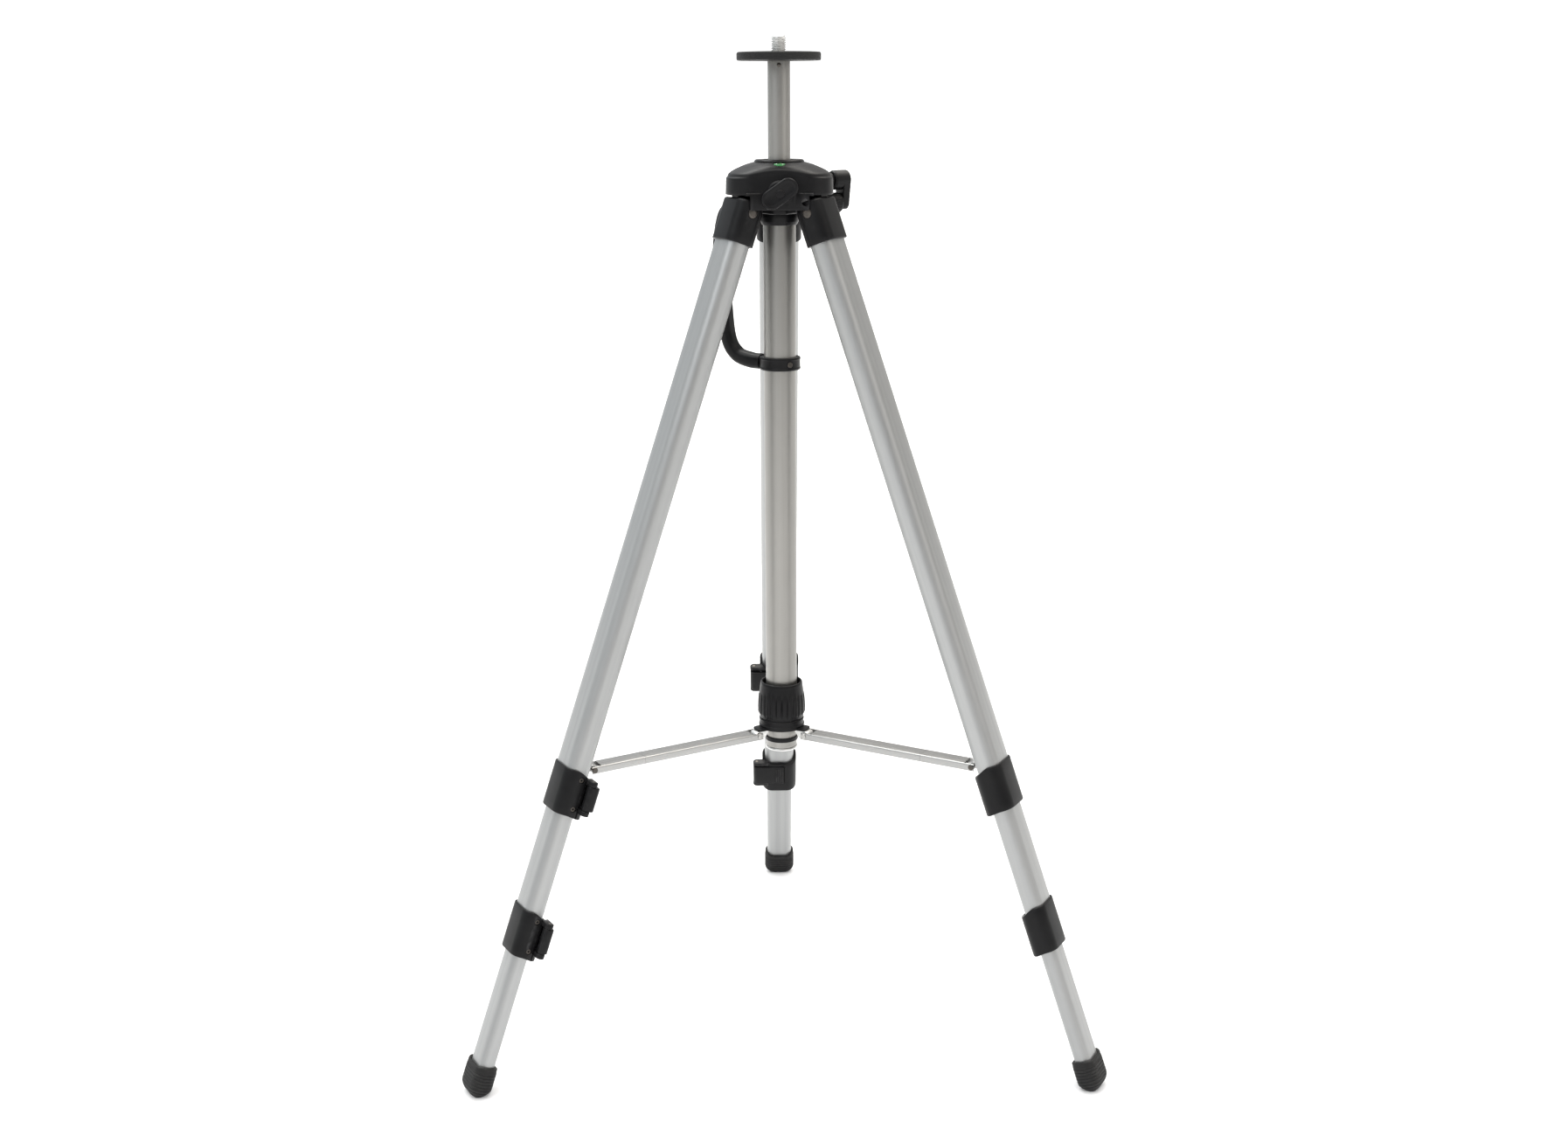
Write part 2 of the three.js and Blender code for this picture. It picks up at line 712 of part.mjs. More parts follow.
// The fork that carries the strut, riveted to the leg's inner face
function strutBracket() {
  const x = -BRACKET_REACH;
  const z = -BRACKET_AT;
  const face = -(UPPER.deep / 2 + GAP);
  return join(
    block(2, 20, 22, face - 1, 0, z + 8),
    block(face - x, 12, 7, (face + x) / 2, 0, z + 0.5),
    bar("y", 3.5, -6, 6).translate(x, 0, z),
    bar("y", 2, -9.2, 9.2).translate(x, 0, z),
  );
}

function boot() {
  const length = 70;
  const shoe = common(
    join(
      sectionPrism({ deep: 27, wide: 40.5, corner: 11 }, 0, -BOOT_TOP - length, -BOOT_TOP - 6),
      sectionPrism({ deep: 25, wide: 38.5, corner: 10.5 }, 0, -BOOT_TOP - 8, -BOOT_TOP),
    ),
    bar("y", 34, -30, 30, 28).translate(4, 0, -BOOT_TOP - 21),
  );
  // Trimmed level with the ground
  const ground = new THREE.BoxGeometry(1200, 200, 100).translate(0, 0, -50);
  ground.translate(-PIVOT_R, 0, -PIVOT_Z).rotateY(SPLAY);
  return cut(
    shoe,
    ground,
    sectionPrism(LOWER, GAP, -LOWER_SPAN[1] - GAP, -BOOT_TOP + 1),
  );
}

for (const [side, azimuth] of Object.entries(LEG_AZIMUTH)) {
  const sector = turnedGroup(tripod, azimuth);
  const leg = new THREE.Group();
  leg.position.set(PIVOT_R, 0, PIVOT_Z);
  leg.rotation.y = -SPLAY;
  sector.add(leg);
  add(leg, `${side}_leg_pivot_pin`, bar("y", PIN_R, -25.5, 25.5), steel);
  add(leg, `${side}_leg_socket`, socket(), blackPlastic);
  add(leg, `${side}_upper_tube`, legTube(UPPER, UPPER_SPAN), anodised);
  add(leg, `${side}_strut_bracket`, strutBracket(), brightMetal);
  add(leg, `${side}_upper_lock_collar`, lockCollar(UPPER, MIDDLE, UPPER_LOCK), blackPlastic);
  add(leg, `${side}_upper_lock_lever`, lockLever(UPPER_LOCK), blackPlastic);
  add(leg, `${side}_middle_tube`, legTube(MIDDLE, MIDDLE_SPAN), anodised);
  add(leg, `${side}_lower_lock_collar`, lockCollar(MIDDLE, LOWER, LOWER_LOCK), blackPlastic);
  add(leg, `${side}_lower_lock_lever`, lockLever(LOWER_LOCK), blackPlastic);
  add(leg, `${side}_lower_tube`, legTube(LOWER, LOWER_SPAN), anodised);
  add(leg, `${side}_foot`, boot(), blackRubber);

  const strut = new THREE.Group();
  strut.position.set(HUB_PIVOT_R, 0, STRUT_Z);
  sector.add(strut);
  add(strut, `${side}_strut`, strutChannel(), brightMetal);
  add(strut, `${side}_strut_tie`, strutTie(), brightMetal);
}

// ---- stand the group on the origin: box centre in plan, feet on z = 0 ----
const bounds = new THREE.Box3().setFromObject(tripod, true);
const middle = bounds.getCenter(new THREE.Vector3());
tripod.position.set(-middle.x, -middle.y, -bounds.min.z);

export default tripod;
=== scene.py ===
import json
from math import atan2, ceil, cos, pi, radians, sin, sqrt, tan

import bmesh
import bpy
from mathutils import Matrix, Vector


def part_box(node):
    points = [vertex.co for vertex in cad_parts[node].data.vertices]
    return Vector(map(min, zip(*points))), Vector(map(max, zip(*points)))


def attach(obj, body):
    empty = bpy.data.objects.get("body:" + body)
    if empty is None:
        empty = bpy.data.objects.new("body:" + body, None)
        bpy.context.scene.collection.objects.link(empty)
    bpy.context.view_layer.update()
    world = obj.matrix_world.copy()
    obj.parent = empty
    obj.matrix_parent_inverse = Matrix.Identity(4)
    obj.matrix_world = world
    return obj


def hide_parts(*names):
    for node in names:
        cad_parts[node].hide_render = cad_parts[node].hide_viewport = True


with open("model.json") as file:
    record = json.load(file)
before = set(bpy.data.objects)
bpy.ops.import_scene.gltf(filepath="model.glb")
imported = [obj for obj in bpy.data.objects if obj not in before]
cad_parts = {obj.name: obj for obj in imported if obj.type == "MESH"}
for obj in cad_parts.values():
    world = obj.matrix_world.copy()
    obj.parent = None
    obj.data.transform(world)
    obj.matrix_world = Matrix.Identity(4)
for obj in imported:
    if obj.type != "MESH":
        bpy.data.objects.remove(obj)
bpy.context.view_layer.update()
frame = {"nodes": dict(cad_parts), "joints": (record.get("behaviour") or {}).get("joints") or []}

# Surveyor tripod. Shapes are made in millimetres in their own part's frame and scaled as they are
# placed, so Object coordinates run along each tube and strut.
MM = 0.001
SIDES = ("left", "right", "rear")
JOINTS = {j["name"]: j for j in frame["joints"]}

# ---------------------------------------------------------------- places
def axes(origin, x, y):
    """A rigid frame from its origin, its X and its Y, which stand at right angles."""
    x, y = Vector(x).normalized(), Vector(y).normalized()
    z = x.cross(y)
    return Matrix.Translation(Vector(origin)) @ Matrix((x, y, z)).transposed().to_4x4()


tube_low, tube_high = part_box("centre_tube")
COLUMN_AT = Vector(((tube_low.x + tube_high.x) / 2, (tube_low.y + tube_high.y) / 2, 0))
STAND = Matrix.Translation(COLUMN_AT)


def leg_place(side):
    """Origin at the hinge, -Z down the leg, X out through its outer face, Y across it."""
    y = Vector(JOINTS[f"{side}_leg_fold"]["axis"])
    z = -Vector(JOINTS[f"{side}_middle_slide"]["axis"])
    return axes(JOINTS[f"{side}_leg_fold"]["pos_m"], y.cross(z), y)


def strut_place(side):
    """Origin at the hub pivot, X outward to the leg, Y along the pin."""
    y = Vector(JOINTS[f"{side}_strut_swing"]["axis"])
    return axes(JOINTS[f"{side}_strut_swing"]["pos_m"], y.cross(Vector((0, 0, 1))), y)


def move(x=0.0, y=0.0, z=0.0):
    return Matrix.Translation((x, y, z))


def turn(axis, degrees):
    return Matrix.Rotation(radians(degrees), 4, axis)


TO_X = turn("Y", 90)  # carries local Z to X
TO_Y = turn("X", -90)  # carries local Z to Y


# ---------------------------------------------------------------- shapes
def fillet(points, radius=0.6, steps=4):
    """Rounds the corners of a closed outline. A point's third value is its own radius."""
    out = []
    for i, point in enumerate(points):
        r = point[2] if len(point) > 2 else radius
        b = Vector(point[:2])
        u = Vector(points[i - 1][:2]) - b
        v = Vector(points[(i + 1) % len(points)][:2]) - b
        if r <= 0 or min(u.length, v.length) < 1e-6:
            out.append(b)
            continue
        angle = u.angle(v)
        if angle > pi - 0.03 or angle < 0.03:
            out.append(b)
            continue
        back = min(r / tan(angle / 2), 0.49 * u.length, 0.49 * v.length)
        r = back * tan(angle / 2)
        centre = b + (u.normalized() + v.normalized()).normalized() * (r / sin(angle / 2))
        start, end = b + u.normalized() * back - centre, b + v.normalized() * back - centre
        w = pi - angle
        for k in range(steps + 1):
            t = k / steps
            out.append(centre + (start * sin((1 - t) * w) + end * sin(t * w)) / sin(w))
    return out


def inset(outline, amount):
    """The outline moved inward by amount; it runs anticlockwise."""
    out = []
    for i, p in enumerate(outline):
        p = Vector(p[:2])
        before, after = Vector(outline[i - 1][:2]), Vector(outline[(i + 1) % len(outline)][:2])
        e, f = (p - before).normalized(), (after - p).normalized()
        m, n = Vector((-e.y, e.x)), Vector((-f.y, f.x))
        out.append(p + (m + n) * (amount / max(0.4, 1 + m.dot(n))))
    return out


def rounded_rect(deep, wide, corner, steps=7):
    """Deep lies along X, wide along Y."""
    x, y = deep / 2, wide / 2
    corner = min(corner, x - 0.01, y - 0.01)
    return fillet([(x, -y), (x, y), (-x, y), (-x, -y)], corner, steps)


def flat(outline, z):
    return [Vector((p[0], p[1], z)) for p in outline]


def loft(b, loops, at=Matrix(), wrap=False, cap=True):
    """Skins loops of equal length; wrap joins the last to the first, as for a tube."""
    rows = [[b.verts.new(at @ Vector(p)) for p in loop] for loop in loops]
    pairs = list(zip(rows, rows[1:])) + ([(rows[-1], rows[0])] if wrap else [])
    for lower, upper in pairs:
        for i in range(len(lower)):
            b.faces.new((lower[i - 1], lower[i], upper[i], upper[i - 1]))
    if cap and not wrap:
        b.faces.new(rows[0][::-1])
        b.faces.new(rows[-1])
    return b


def prism(b, outline, low, high, edge=0.8, at=Matrix(), steps=3):
    """An extrusion along Z with rounded rims."""
    loops = []
    for k in range(steps + 1):
        a = (pi / 2) * k / steps
        loops.append(flat(inset(outline, edge * (1 - sin(a))), low + edge * (1 - cos(a))))
    for k in range(steps, -1, -1):
        a = (pi / 2) * k / steps
        loops.append(flat(inset(outline, edge * (1 - sin(a))), high - edge * (1 - cos(a))))
    return loft(b, loops, at)


def turned(b, profile, at=Matrix(), steps=64, radius=0.5):
    """A solid of revolution about Z from a closed profile of (radius, height) points."""
    corners = [(p[0], p[1], 0 if p[0] < 1e-6 else (p[2] if len(p) > 2 else radius)) for p in profile]
    line = fillet(corners, radius)
    loops = []
    for r, z in line:
        loops.append([Vector((r * cos(2 * pi * i / steps), r * sin(2 * pi * i / steps), z))
                      for i in range(steps)])
    return loft(b, loops, at, wrap=True)


def bar(b, radius, low, high, at=Matrix(), edge=0.4, steps=28):
    return turned(b, [(0, low), (radius, low), (radius, high), (0, high)], at, steps, edge)


def block(b, x, y, z, at=Matrix(), edge=0.5, corner=0.8):
    """A block between (low, high) pairs with rounded edges."""
    outline = rounded_rect(x[1] - x[0], y[1] - y[0], corner, 3)
    return prism(b, outline, z[0], z[1], edge, at @ move((x[0] + x[1]) / 2, (y[0] + y[1]) / 2), 2)


def cutter(x, y, z, at=Matrix()):
    """A sharp-edged block between (low, high) pairs, to cut with."""
    corners = [(x[0], y[0]), (x[1], y[0]), (x[1], y[1]), (x[0], y[1])]
    return loft(new(), [flat(corners, z[0]), flat(corners, z[1])], at)


def spline(points, steps=8):
    """A smooth curve through the points."""
    points = [Vector(p) for p in points]
    ends = [2 * points[0] - points[1], *points, 2 * points[-1] - points[-2]]
    out = []
    for i in range(1, len(ends) - 2):
        a, p, q, c = ends[i - 1 : i + 3]
        for k in range(steps):
            t = k / steps
            out.append(0.5 * (2 * p + (q - a) * t + (2 * a - 5 * p + 4 * q - c) * t * t
                              + (3 * p - a - 3 * q + c) * t ** 3))
    return [*out, points[-1]]


def clean(b):
    bmesh.ops.remove_doubles(b, verts=b.verts, dist=1e-4)
    bmesh.ops.dissolve_degenerate(b, edges=b.edges, dist=1e-5)
    bmesh.ops.delete(b, geom=[e for e in b.edges if not e.link_faces], context="EDGES")
    bmesh.ops.recalc_face_normals(b, faces=b.faces)
    return b


def boolean(base, operation, *tools):
    """Joins tools to base, or cuts them from it; all are bmeshes, and a new one comes back."""
    made = []
    for b in (base, *tools):
        mesh = bpy.data.meshes.new("tool")
        clean(b).to_mesh(mesh)
        b.free()
        made.append(bpy.data.objects.new("tool", mesh))
        bpy.context.scene.collection.objects.link(made[-1])
    for tool in made[1:]:
        modifier = made[0].modifiers.new("tool", "BOOLEAN")
        modifier.object, modifier.operation, modifier.solver = tool, operation, "EXACT"
    result = bmesh.new()
    result.from_object(made[0], bpy.context.evaluated_depsgraph_get())
    for o in made:
        mesh = o.data
        bpy.data.objects.remove(o)
        bpy.data.meshes.remove(mesh)
    return result


def new():
    return bmesh.new()


# ---------------------------------------------------------------- finishes
def finish(name, colour, other, roughness, metallic=0.0, stretch=(1, 1, 1), grain=900.0, depth=0.02,
           spread=0.05, patch=25.0, wear=None, specular=0.5):
    """A material: two colours in soft patches, a fine grain in the bump and the roughness, and,
    where wear is given, that colour along the edges that stand proud."""
    m = bpy.data.materials.new(name)
    m.use_nodes = True
    nodes, links = m.node_tree.nodes, m.node_tree.links
    shader = nodes["Principled BSDF"]
    shader.inputs["Metallic"].default_value = metallic
    shader.inputs["Specular IOR Level"].default_value = specular
    where = nodes.new("ShaderNodeTexCoord")
    mapping = nodes.new("ShaderNodeMapping")
    mapping.inputs["Scale"].default_value = stretch
    links.new(where.outputs["Object"], mapping.inputs["Vector"])

    def noise(scale, detail, source=mapping.outputs["Vector"]):
        n = nodes.new("ShaderNodeTexNoise")
        n.inputs["Scale"].default_value = scale
        n.inputs["Detail"].default_value = detail
        links.new(source, n.inputs["Vector"])
        return n.outputs["Fac"]

    def ranged(source, low, high, to_low, to_high):
        r = nodes.new("ShaderNodeMapRange")
        for key, value in (("From Min", low), ("From Max", high), ("To Min", to_low),
                           ("To Max", to_high)):
            r.inputs[key].default_value = value
        links.new(source, r.inputs["Value"])
        return r.outputs["Result"]

    def mixed(factor, a, b):
        mix = nodes.new("ShaderNodeMix")
        mix.data_type = "RGBA"
        links.new(factor, mix.inputs["Factor"])
        for socket, value in (("A", a), ("B", b)):
            target = [s for s in mix.inputs if s.name == socket and s.type == "RGBA"][0]
            if isinstance(value, tuple):
                target.default_value = (*value, 1)
            else:
                links.new(value, target)
        return [s for s in mix.outputs if s.type == "RGBA"][0]

    fine, soft = noise(grain, 3.0), noise(patch, 4.0)
    colour_out = mixed(ranged(soft, 0.35, 0.65, 0, 1), colour, other)
    if wear:
        geometry = nodes.new("ShaderNodeNewGeometry")
        edge = ranged(geometry.outputs["Pointiness"], 0.53, 0.6, 0, 1)
        broken = nodes.new("ShaderNodeMath")
        broken.operation = "MULTIPLY"
        links.new(edge, broken.inputs[0])
        links.new(ranged(noise(180.0, 2.0), 0.42, 0.7, 0.15, 1), broken.inputs[1])
        colour_out = mixed(broken.outputs[0], colour_out, wear)
    links.new(colour_out, shader.inputs["Base Color"])
    both = nodes.new("ShaderNodeMath")
    both.operation = "ADD"
    links.new(ranged(fine, 0.3, 0.7, -spread, spread), both.inputs[0])
    links.new(ranged(soft, 0.3, 0.7, roughness - spread / 2, roughness + spread / 2), both.inputs[1])
    links.new(both.outputs[0], shader.inputs["Roughness"])
    bump = nodes.new("ShaderNodeBump")
    bump.inputs["Strength"].default_value = 0.6
    bump.inputs["Distance"].default_value = depth * MM
    links.new(fine, bump.inputs["Height"])
    links.new(bump.outputs["Normal"], shader.inputs["Normal"])
    return m


ALONG_Z, ALONG_X = (1, 1, 0.012), (0.012, 1, 1)
BRUSHED = {"metallic": 0.88, "stretch": ALONG_Z, "grain": 2600, "depth": 0.010, "patch": 90}
anodised = finish("satin_anodised", (0.35, 0.355, 0.355), (0.31, 0.315, 0.315), 0.42, **BRUSHED)
warm_anodised = finish("column_anodised", (0.29, 0.284, 0.27), (0.255, 0.25, 0.237), 0.40, **BRUSHED)
bright = finish("mill_finish", (0.36, 0.36, 0.355), (0.32, 0.32, 0.315), 0.30, metallic=0.9,
                stretch=ALONG_X, grain=2400, depth=0.012, spread=0.06, patch=70)
cast = finish("bright_fittings", (0.72, 0.72, 0.71), (0.62, 0.62, 0.61), 0.33, metallic=0.95, grain=1500,
              depth=0.012, spread=0.06, patch=60)
steel = finish("plain_steel", (0.46, 0.455, 0.44), (0.36, 0.355, 0.345), 0.30, metallic=1.0, grain=1300,
               depth=0.010, spread=0.07, patch=80)
dark_steel = finish("blackened_steel", (0.06, 0.055, 0.05), (0.09, 0.08, 0.07), 0.38, metallic=0.8,
                    grain=1300, depth=0.010, spread=0.06, patch=80)
plastic = finish("black_nylon", (0.0035, 0.0035, 0.004), (0.0055, 0.0055, 0.006), 0.38, grain=1700,
                 depth=0.035, patch=30, wear=(0.035, 0.035, 0.036), specular=0.15)
rubber = finish("black_rubber", (0.0055, 0.0055, 0.006), (0.009, 0.0088, 0.0085), 0.60, grain=1200,
                depth=0.05, spread=0.07, patch=45, wear=(0.03, 0.03, 0.03), specular=0.25)
CLEAR = {"grain": 300, "depth": 0.001, "spread": 0.01, "patch": 200}
green = finish("level_green", (0.015, 0.14, 0.03), (0.02, 0.17, 0.04), 0.09, **CLEAR)
green.node_tree.nodes["Principled BSDF"].inputs["Coat Weight"].default_value = 1.0
bubble = finish("level_bubble", (0.10, 0.34, 0.08), (0.13, 0.38, 0.10), 0.06, **CLEAR)


# ---------------------------------------------------------------- pieces
def mesh_of(name, b, material, sharp=38):
    """Turns a bmesh in millimetres into a mesh in metres, smooth but for its sharp edges."""
    mesh = bpy.data.meshes.new(name)
    clean(b).to_mesh(mesh)
    b.free()
    mesh.transform(Matrix.Scale(MM, 4))
    mesh.materials.append(material)
    mesh.shade_smooth()
    mesh.set_sharp_from_angle(angle=radians(sharp))
    return mesh


def piece(name, mesh, place, body, slot, *nodes):
    o = bpy.data.objects.new(name, mesh)
    bpy.context.scene.collection.objects.link(o)
    o.matrix_world = place
    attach(o, body)
    if nodes:
        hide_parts(*nodes)
    return o


def make(name, b, material, place, body, slot, *nodes, sharp=38):
    return piece(name, mesh_of(name, b, material, sharp), place, body, slot, *nodes)


# ---------------------------------------------------------------- camera, floor, light
def camera():
    """Stands where the tripod is seen a little from above, and level but for a slight roll."""
    heading, pitch, roll = radians(0.63), radians(14.50), radians(-0.25)
    right = Vector((cos(heading), -sin(heading), 0))
    forward = Vector((sin(heading) * cos(pitch), cos(heading) * cos(pitch), -sin(pitch)))
    up = right.cross(forward)
    side, top = right * cos(roll) + up * sin(roll), up * cos(roll) - right * sin(roll)
    data = bpy.data.cameras.new("camera")
    data.sensor_fit = "HORIZONTAL"
    data.sensor_width = 36
    data.lens = 41.6
    data.shift_x, data.shift_y = 0.00195, 0.0005
    data.clip_end = 100
    o = bpy.data.objects.new("camera", data)
    bpy.context.scene.collection.objects.link(o)
    stand_at = Matrix.Translation((-0.0220, -1.9995 + COLUMN_AT.y, 1.0623))
    o.matrix_world = stand_at @ Matrix((side, top, -forward)).transposed().to_4x4()
    bpy.context.scene.camera = o


def floor():
    reach = 30000
    b = cutter((-reach, reach), (-reach, reach), (-400, 0))
    pale = finish("pale_floor", (0.93, 0.93, 0.93), (0.92, 0.92, 0.925), 0.75, grain=40, depth=0.02,
                  spread=0.03, patch=1.0, specular=0.1)
    o = bpy.data.objects.new("floor", mesh_of("floor", b, pale))
    bpy.context.scene.collection.objects.link(o)


def light():
    """A white room. What the metal mirrors is dimmer in front and on the right, and bright overhead."""
    world = bpy.data.worlds.new("studio")
    bpy.context.scene.world = world
    world.use_nodes = True
    nodes, links = world.node_tree.nodes, world.node_tree.links
    background = nodes["Background"]
    where = nodes.new("ShaderNodeTexCoord")
    split = nodes.new("ShaderNodeSeparateXYZ")
    links.new(where.outputs["Generated"], split.inputs[0])

    def ramp(source, *stops):
        r = nodes.new("ShaderNodeValToRGB")
        r.color_ramp.interpolation = "EASE"
        while len(r.color_ramp.elements) < len(stops):
            r.color_ramp.elements.new(0.5)
        for element, (position, colour) in zip(r.color_ramp.elements, stops):
            element.position = position
            element.color = (*colour, 1)
        scaled = nodes.new("ShaderNodeMapRange")
        scaled.inputs["From Min"].default_value = -1
        links.new(source, scaled.inputs["Value"])
        links.new(scaled.outputs["Result"], r.inputs["Fac"])
        return r.outputs["Color"]

    def times(a, b):
        mix = nodes.new("ShaderNodeMix")
        mix.data_type, mix.blend_type = "RGBA", "MULTIPLY"
        mix.inputs["Factor"].default_value = 1
        sockets = [s for s in mix.inputs if s.type == "RGBA"]
        links.new(a, sockets[0])
        links.new(b, sockets[1])
        return [s for s in mix.outputs if s.type == "RGBA"][0]

    across = ramp(split.outputs["X"], (0.0, (0.92, 0.97, 1.0)), (0.3, (0.86, 0.90, 0.94)),
                  (0.55, (0.62, 0.61, 0.60)), (1.0, (0.80, 0.78, 0.75)))
    along = ramp(split.outputs["Y"], (0.0, (0.60, 0.60, 0.60)), (0.45, (0.62, 0.62, 0.62)),
                 (0.8, (1.0, 1.0, 1.0)))
    above = ramp(split.outputs["Z"], (0.0, (1, 1, 1)), (0.82, (1, 1, 1)), (0.90, (9.0, 8.7, 8.2)),
                 (1.0, (10.5, 10.2, 9.8)))
    seen = nodes.new("ShaderNodeLightPath")
    final = nodes.new("ShaderNodeMix")
    final.data_type = "RGBA"
    plain = nodes.new("ShaderNodeMath")
    plain.operation = "MAXIMUM"
    links.new(seen.outputs["Is Camera Ray"], plain.inputs[0])
    links.new(seen.outputs["Is Diffuse Ray"], plain.inputs[1])
    links.new(plain.outputs[0], final.inputs["Factor"])
    sockets = [s for s in final.inputs if s.type == "RGBA"]
    links.new(times(times(across, along), above), sockets[0])
    sockets[1].default_value = (1.2, 1.2, 1.2, 1)
    links.new([s for s in final.outputs if s.type == "RGBA"][0], background.inputs["Color"])
    background.inputs["Strength"].default_value = 1.0
    for name, place, size, power, colour in (
        ("key", (-1.9, -1.7, 2.6), 1.6, 13, (0.95, 0.98, 1.0)),
        ("fill", (2.2, -1.5, 1.8), 1.8, 7, (1.0, 0.97, 0.93)),
        ("top", (0.2, 0.6, 3.2), 2.4, 26, (1.0, 1.0, 1.0)),
    ):
        data = bpy.data.lights.new(name, "AREA")
        data.shape, data.size, data.energy, data.color = "SQUARE", size, power, colour
        o = bpy.data.objects.new(name, data)
        bpy.context.scene.collection.objects.link(o)
        aim = Vector((0, COLUMN_AT.y, 0.6)) - Vector(place)
        o.matrix_world = Matrix.Translation(place) @ aim.to_track_quat("-Z", "Y").to_matrix().to_4x4()
    bpy.context.scene.view_settings.view_transform = "Standard"


# ---------------------------------------------------------------- column: screw, plate, tube
def screw():
    """A 5/8 inch survey screw with a true helical thread of 11 turns an inch."""
    pitch, crest, root, low, high, steps = 25.4 / 11, 7.93, 6.6, 1104.0, 1129.0, 56
    outline = ((0.0, root), (0.22, root), (0.56, crest), (0.70, crest))
    turns = ceil((high - low) / pitch) + 2
    loops = [[Vector((3.0 * cos(2 * pi * i / steps), 3.0 * sin(2 * pi * i / steps), low))
              for i in range(steps)]]
    for n in range(-1, turns):
        for share, r in outline:
            loop = []
            for i in range(steps):
                z = min(max(low + pitch * (n + share + i / steps), low), high)
                reach = min(r, 6.3 + (high - z), 6.0 + (z - low))
                a = 2 * pi * i / steps
                loop.append(Vector((reach * cos(a), reach * sin(a), z)))
            loops.append(loop)
    # the helix closes on itself one turn further on, so the last column meets the first a row up
    b = new()
    rows = [[b.verts.new(p) for p in loop] for loop in loops]
    shift = len(outline)
    for j in range(1, len(rows) - 1):
        for i in range(steps - 1):
            b.faces.new((rows[j][i], rows[j][i + 1], rows[j + 1][i + 1], rows[j + 1][i]))
        if j + 1 + shift < len(rows):
            b.faces.new((rows[j][-1], rows[j + shift][0], rows[j + 1 + shift][0], rows[j + 1][-1]))
    bmesh.ops.remove_doubles(b, verts=b.verts, dist=1e-4)
    bmesh.ops.holes_fill(b, edges=[e for e in b.edges if e.is_boundary], sides=0)
    loose = [v for v in b.verts if not v.link_faces]
    bmesh.ops.delete(b, geom=loose, context="VERTS")
    make("survey_screw", b, cast, STAND, "column", "bright_metal", "instrument_screw", sharp=30)


def plate():
    """The instrument plate, with a hollow round its screw below and rings on its face."""
    low, high, edge = 1103.3, 1112.0, 45.0
    profile = [(8.3, low), (14, low), (14, low + 1.4), (17, low + 1.4), (17, low), (40.5, low),
               (40.5, low + 0.7), (42, low + 0.7), (42, low), (edge - 0.6, low, 0.9), (edge, low + 1.4),
               (edge, high - 1.2, 1.0), (edge - 1.2, high, 0.8), (43.0, high), (42.6, high - 0.5),
               (42.0, high - 0.5), (41.6, high)]
    for k in range(9):  # shallow rings moulded in the face
        r = 39.5 - 3.2 * k
        profile += [(r, high), (r - 0.35, high - 0.35), (r - 0.85, high - 0.35), (r - 1.2, high)]
    profile += [(8.3, high)]
    b = turned(new(), profile, steps=128, radius=0.18)
    make("platform_disc", b, rubber, STAND, "column", "black_plastic", "platform_plate")


def column():
    b = turned(new(), [(10.5, 460), (12, 460), (12, 1103.2), (10.5, 1103.2)], steps=96, radius=0.35)
    make("elevating_column", b, warm_anodised, STAND, "column", "anodised", "column_tube")
    b = turned(new(), [(0, -0.6), (2.3, -0.6), (2.3, 0.35), (1.1, 0.85), (0, 0.95)], steps=28,
               radius=0.4)
    make("column_rivet", b, dark_steel, STAND @ move(0, -12 * MM, 1.0985) @ turn("X", 90), "column",
         "steel")


# ---------------------------------------------------------------- centre tube and collar
TUBE_R, RUN_R = 17.75, 18.05  # the centre tube, and the bore of whatever sits or runs on it


def centre_tube():
    b = turned(new(), [(16.15, 334), (TUBE_R, 334), (TUBE_R, 936), (16.15, 936)], steps=112, radius=0.4)
    make("outer_tube", b, warm_anodised, STAND, "stand", "anodised", "centre_tube")
    b = turned(new(), [(RUN_R, 931.5), (18.8, 931.5, 0.4), (19.4, 932.4, 0.4), (20.9, 935.4, 2.5),
                       (21.5, 939.5, 2), (21.5, 943.6), (16.9, 943.6), (16.9, 936.4),
                       (RUN_R, 936.4)], steps=96, radius=0.3)
    make("tube_socket", b, plastic, STAND, "stand", "black_plastic", "tube_collar")
    b = turned(new(), [(13.5, 331), (18.1, 331, 0.6), (18.7, 332.2, 0.6), (18.2, 333.7, 0.3),
                       (15.85, 333.7), (15.85, 346), (13.5, 346)], steps=80, radius=0.3)
    make("tube_foot_ring", b, cast, STAND, "stand", "bright_metal", "tube_end_ring")


# ---------------------------------------------------------------- head
# round the column, in degrees
LEG_AT = {"left": 210, "right": 330, "rear": 90}
RACK_AT, HANDLE_AT, KNOB_TILT = 120, 150, 35
PIVOT_R, PIVOT_Z = 47.2, 946.0
POCKET = 22.0  # how far behind its pivot a leg socket swings
DRUM_R, LOBE_R, LOBE_AT = 39.0, 28.5, 34.0
WALL_AT = LOBE_AT / 2 + LOBE_R  # distance of the hood's straight walls from the column
TIP_HALF = atan2(LOBE_R * sin(pi / 3), LOBE_AT + LOBE_R / 2)  # half the angle of a round corner
HEAD_TOP, HOOD_LOW = 998.0, 964.6
ROOF = ((983.5, 60.0), (986.6, 57.5), (990.6, 49.0), (995.3, 37.6), (HEAD_TOP, 28.0))  # height, radius
CRANK_Z = JOINTS["crank_turn"]["pos_m"][2] / MM
LOCK_Z = JOINTS["column_lock_turn"]["pos_m"][2] / MM
KNOB_BACK = -48.8
LEVEL_Y, LEVEL_TOP = -31.5, 997.4


def soft_min(a, b, k):
    """The smaller of two lengths, blended where they are within k of each other."""
    h = max(k - abs(a - b), 0.0) / k
    return min(a, b) - h * h * k * 0.25


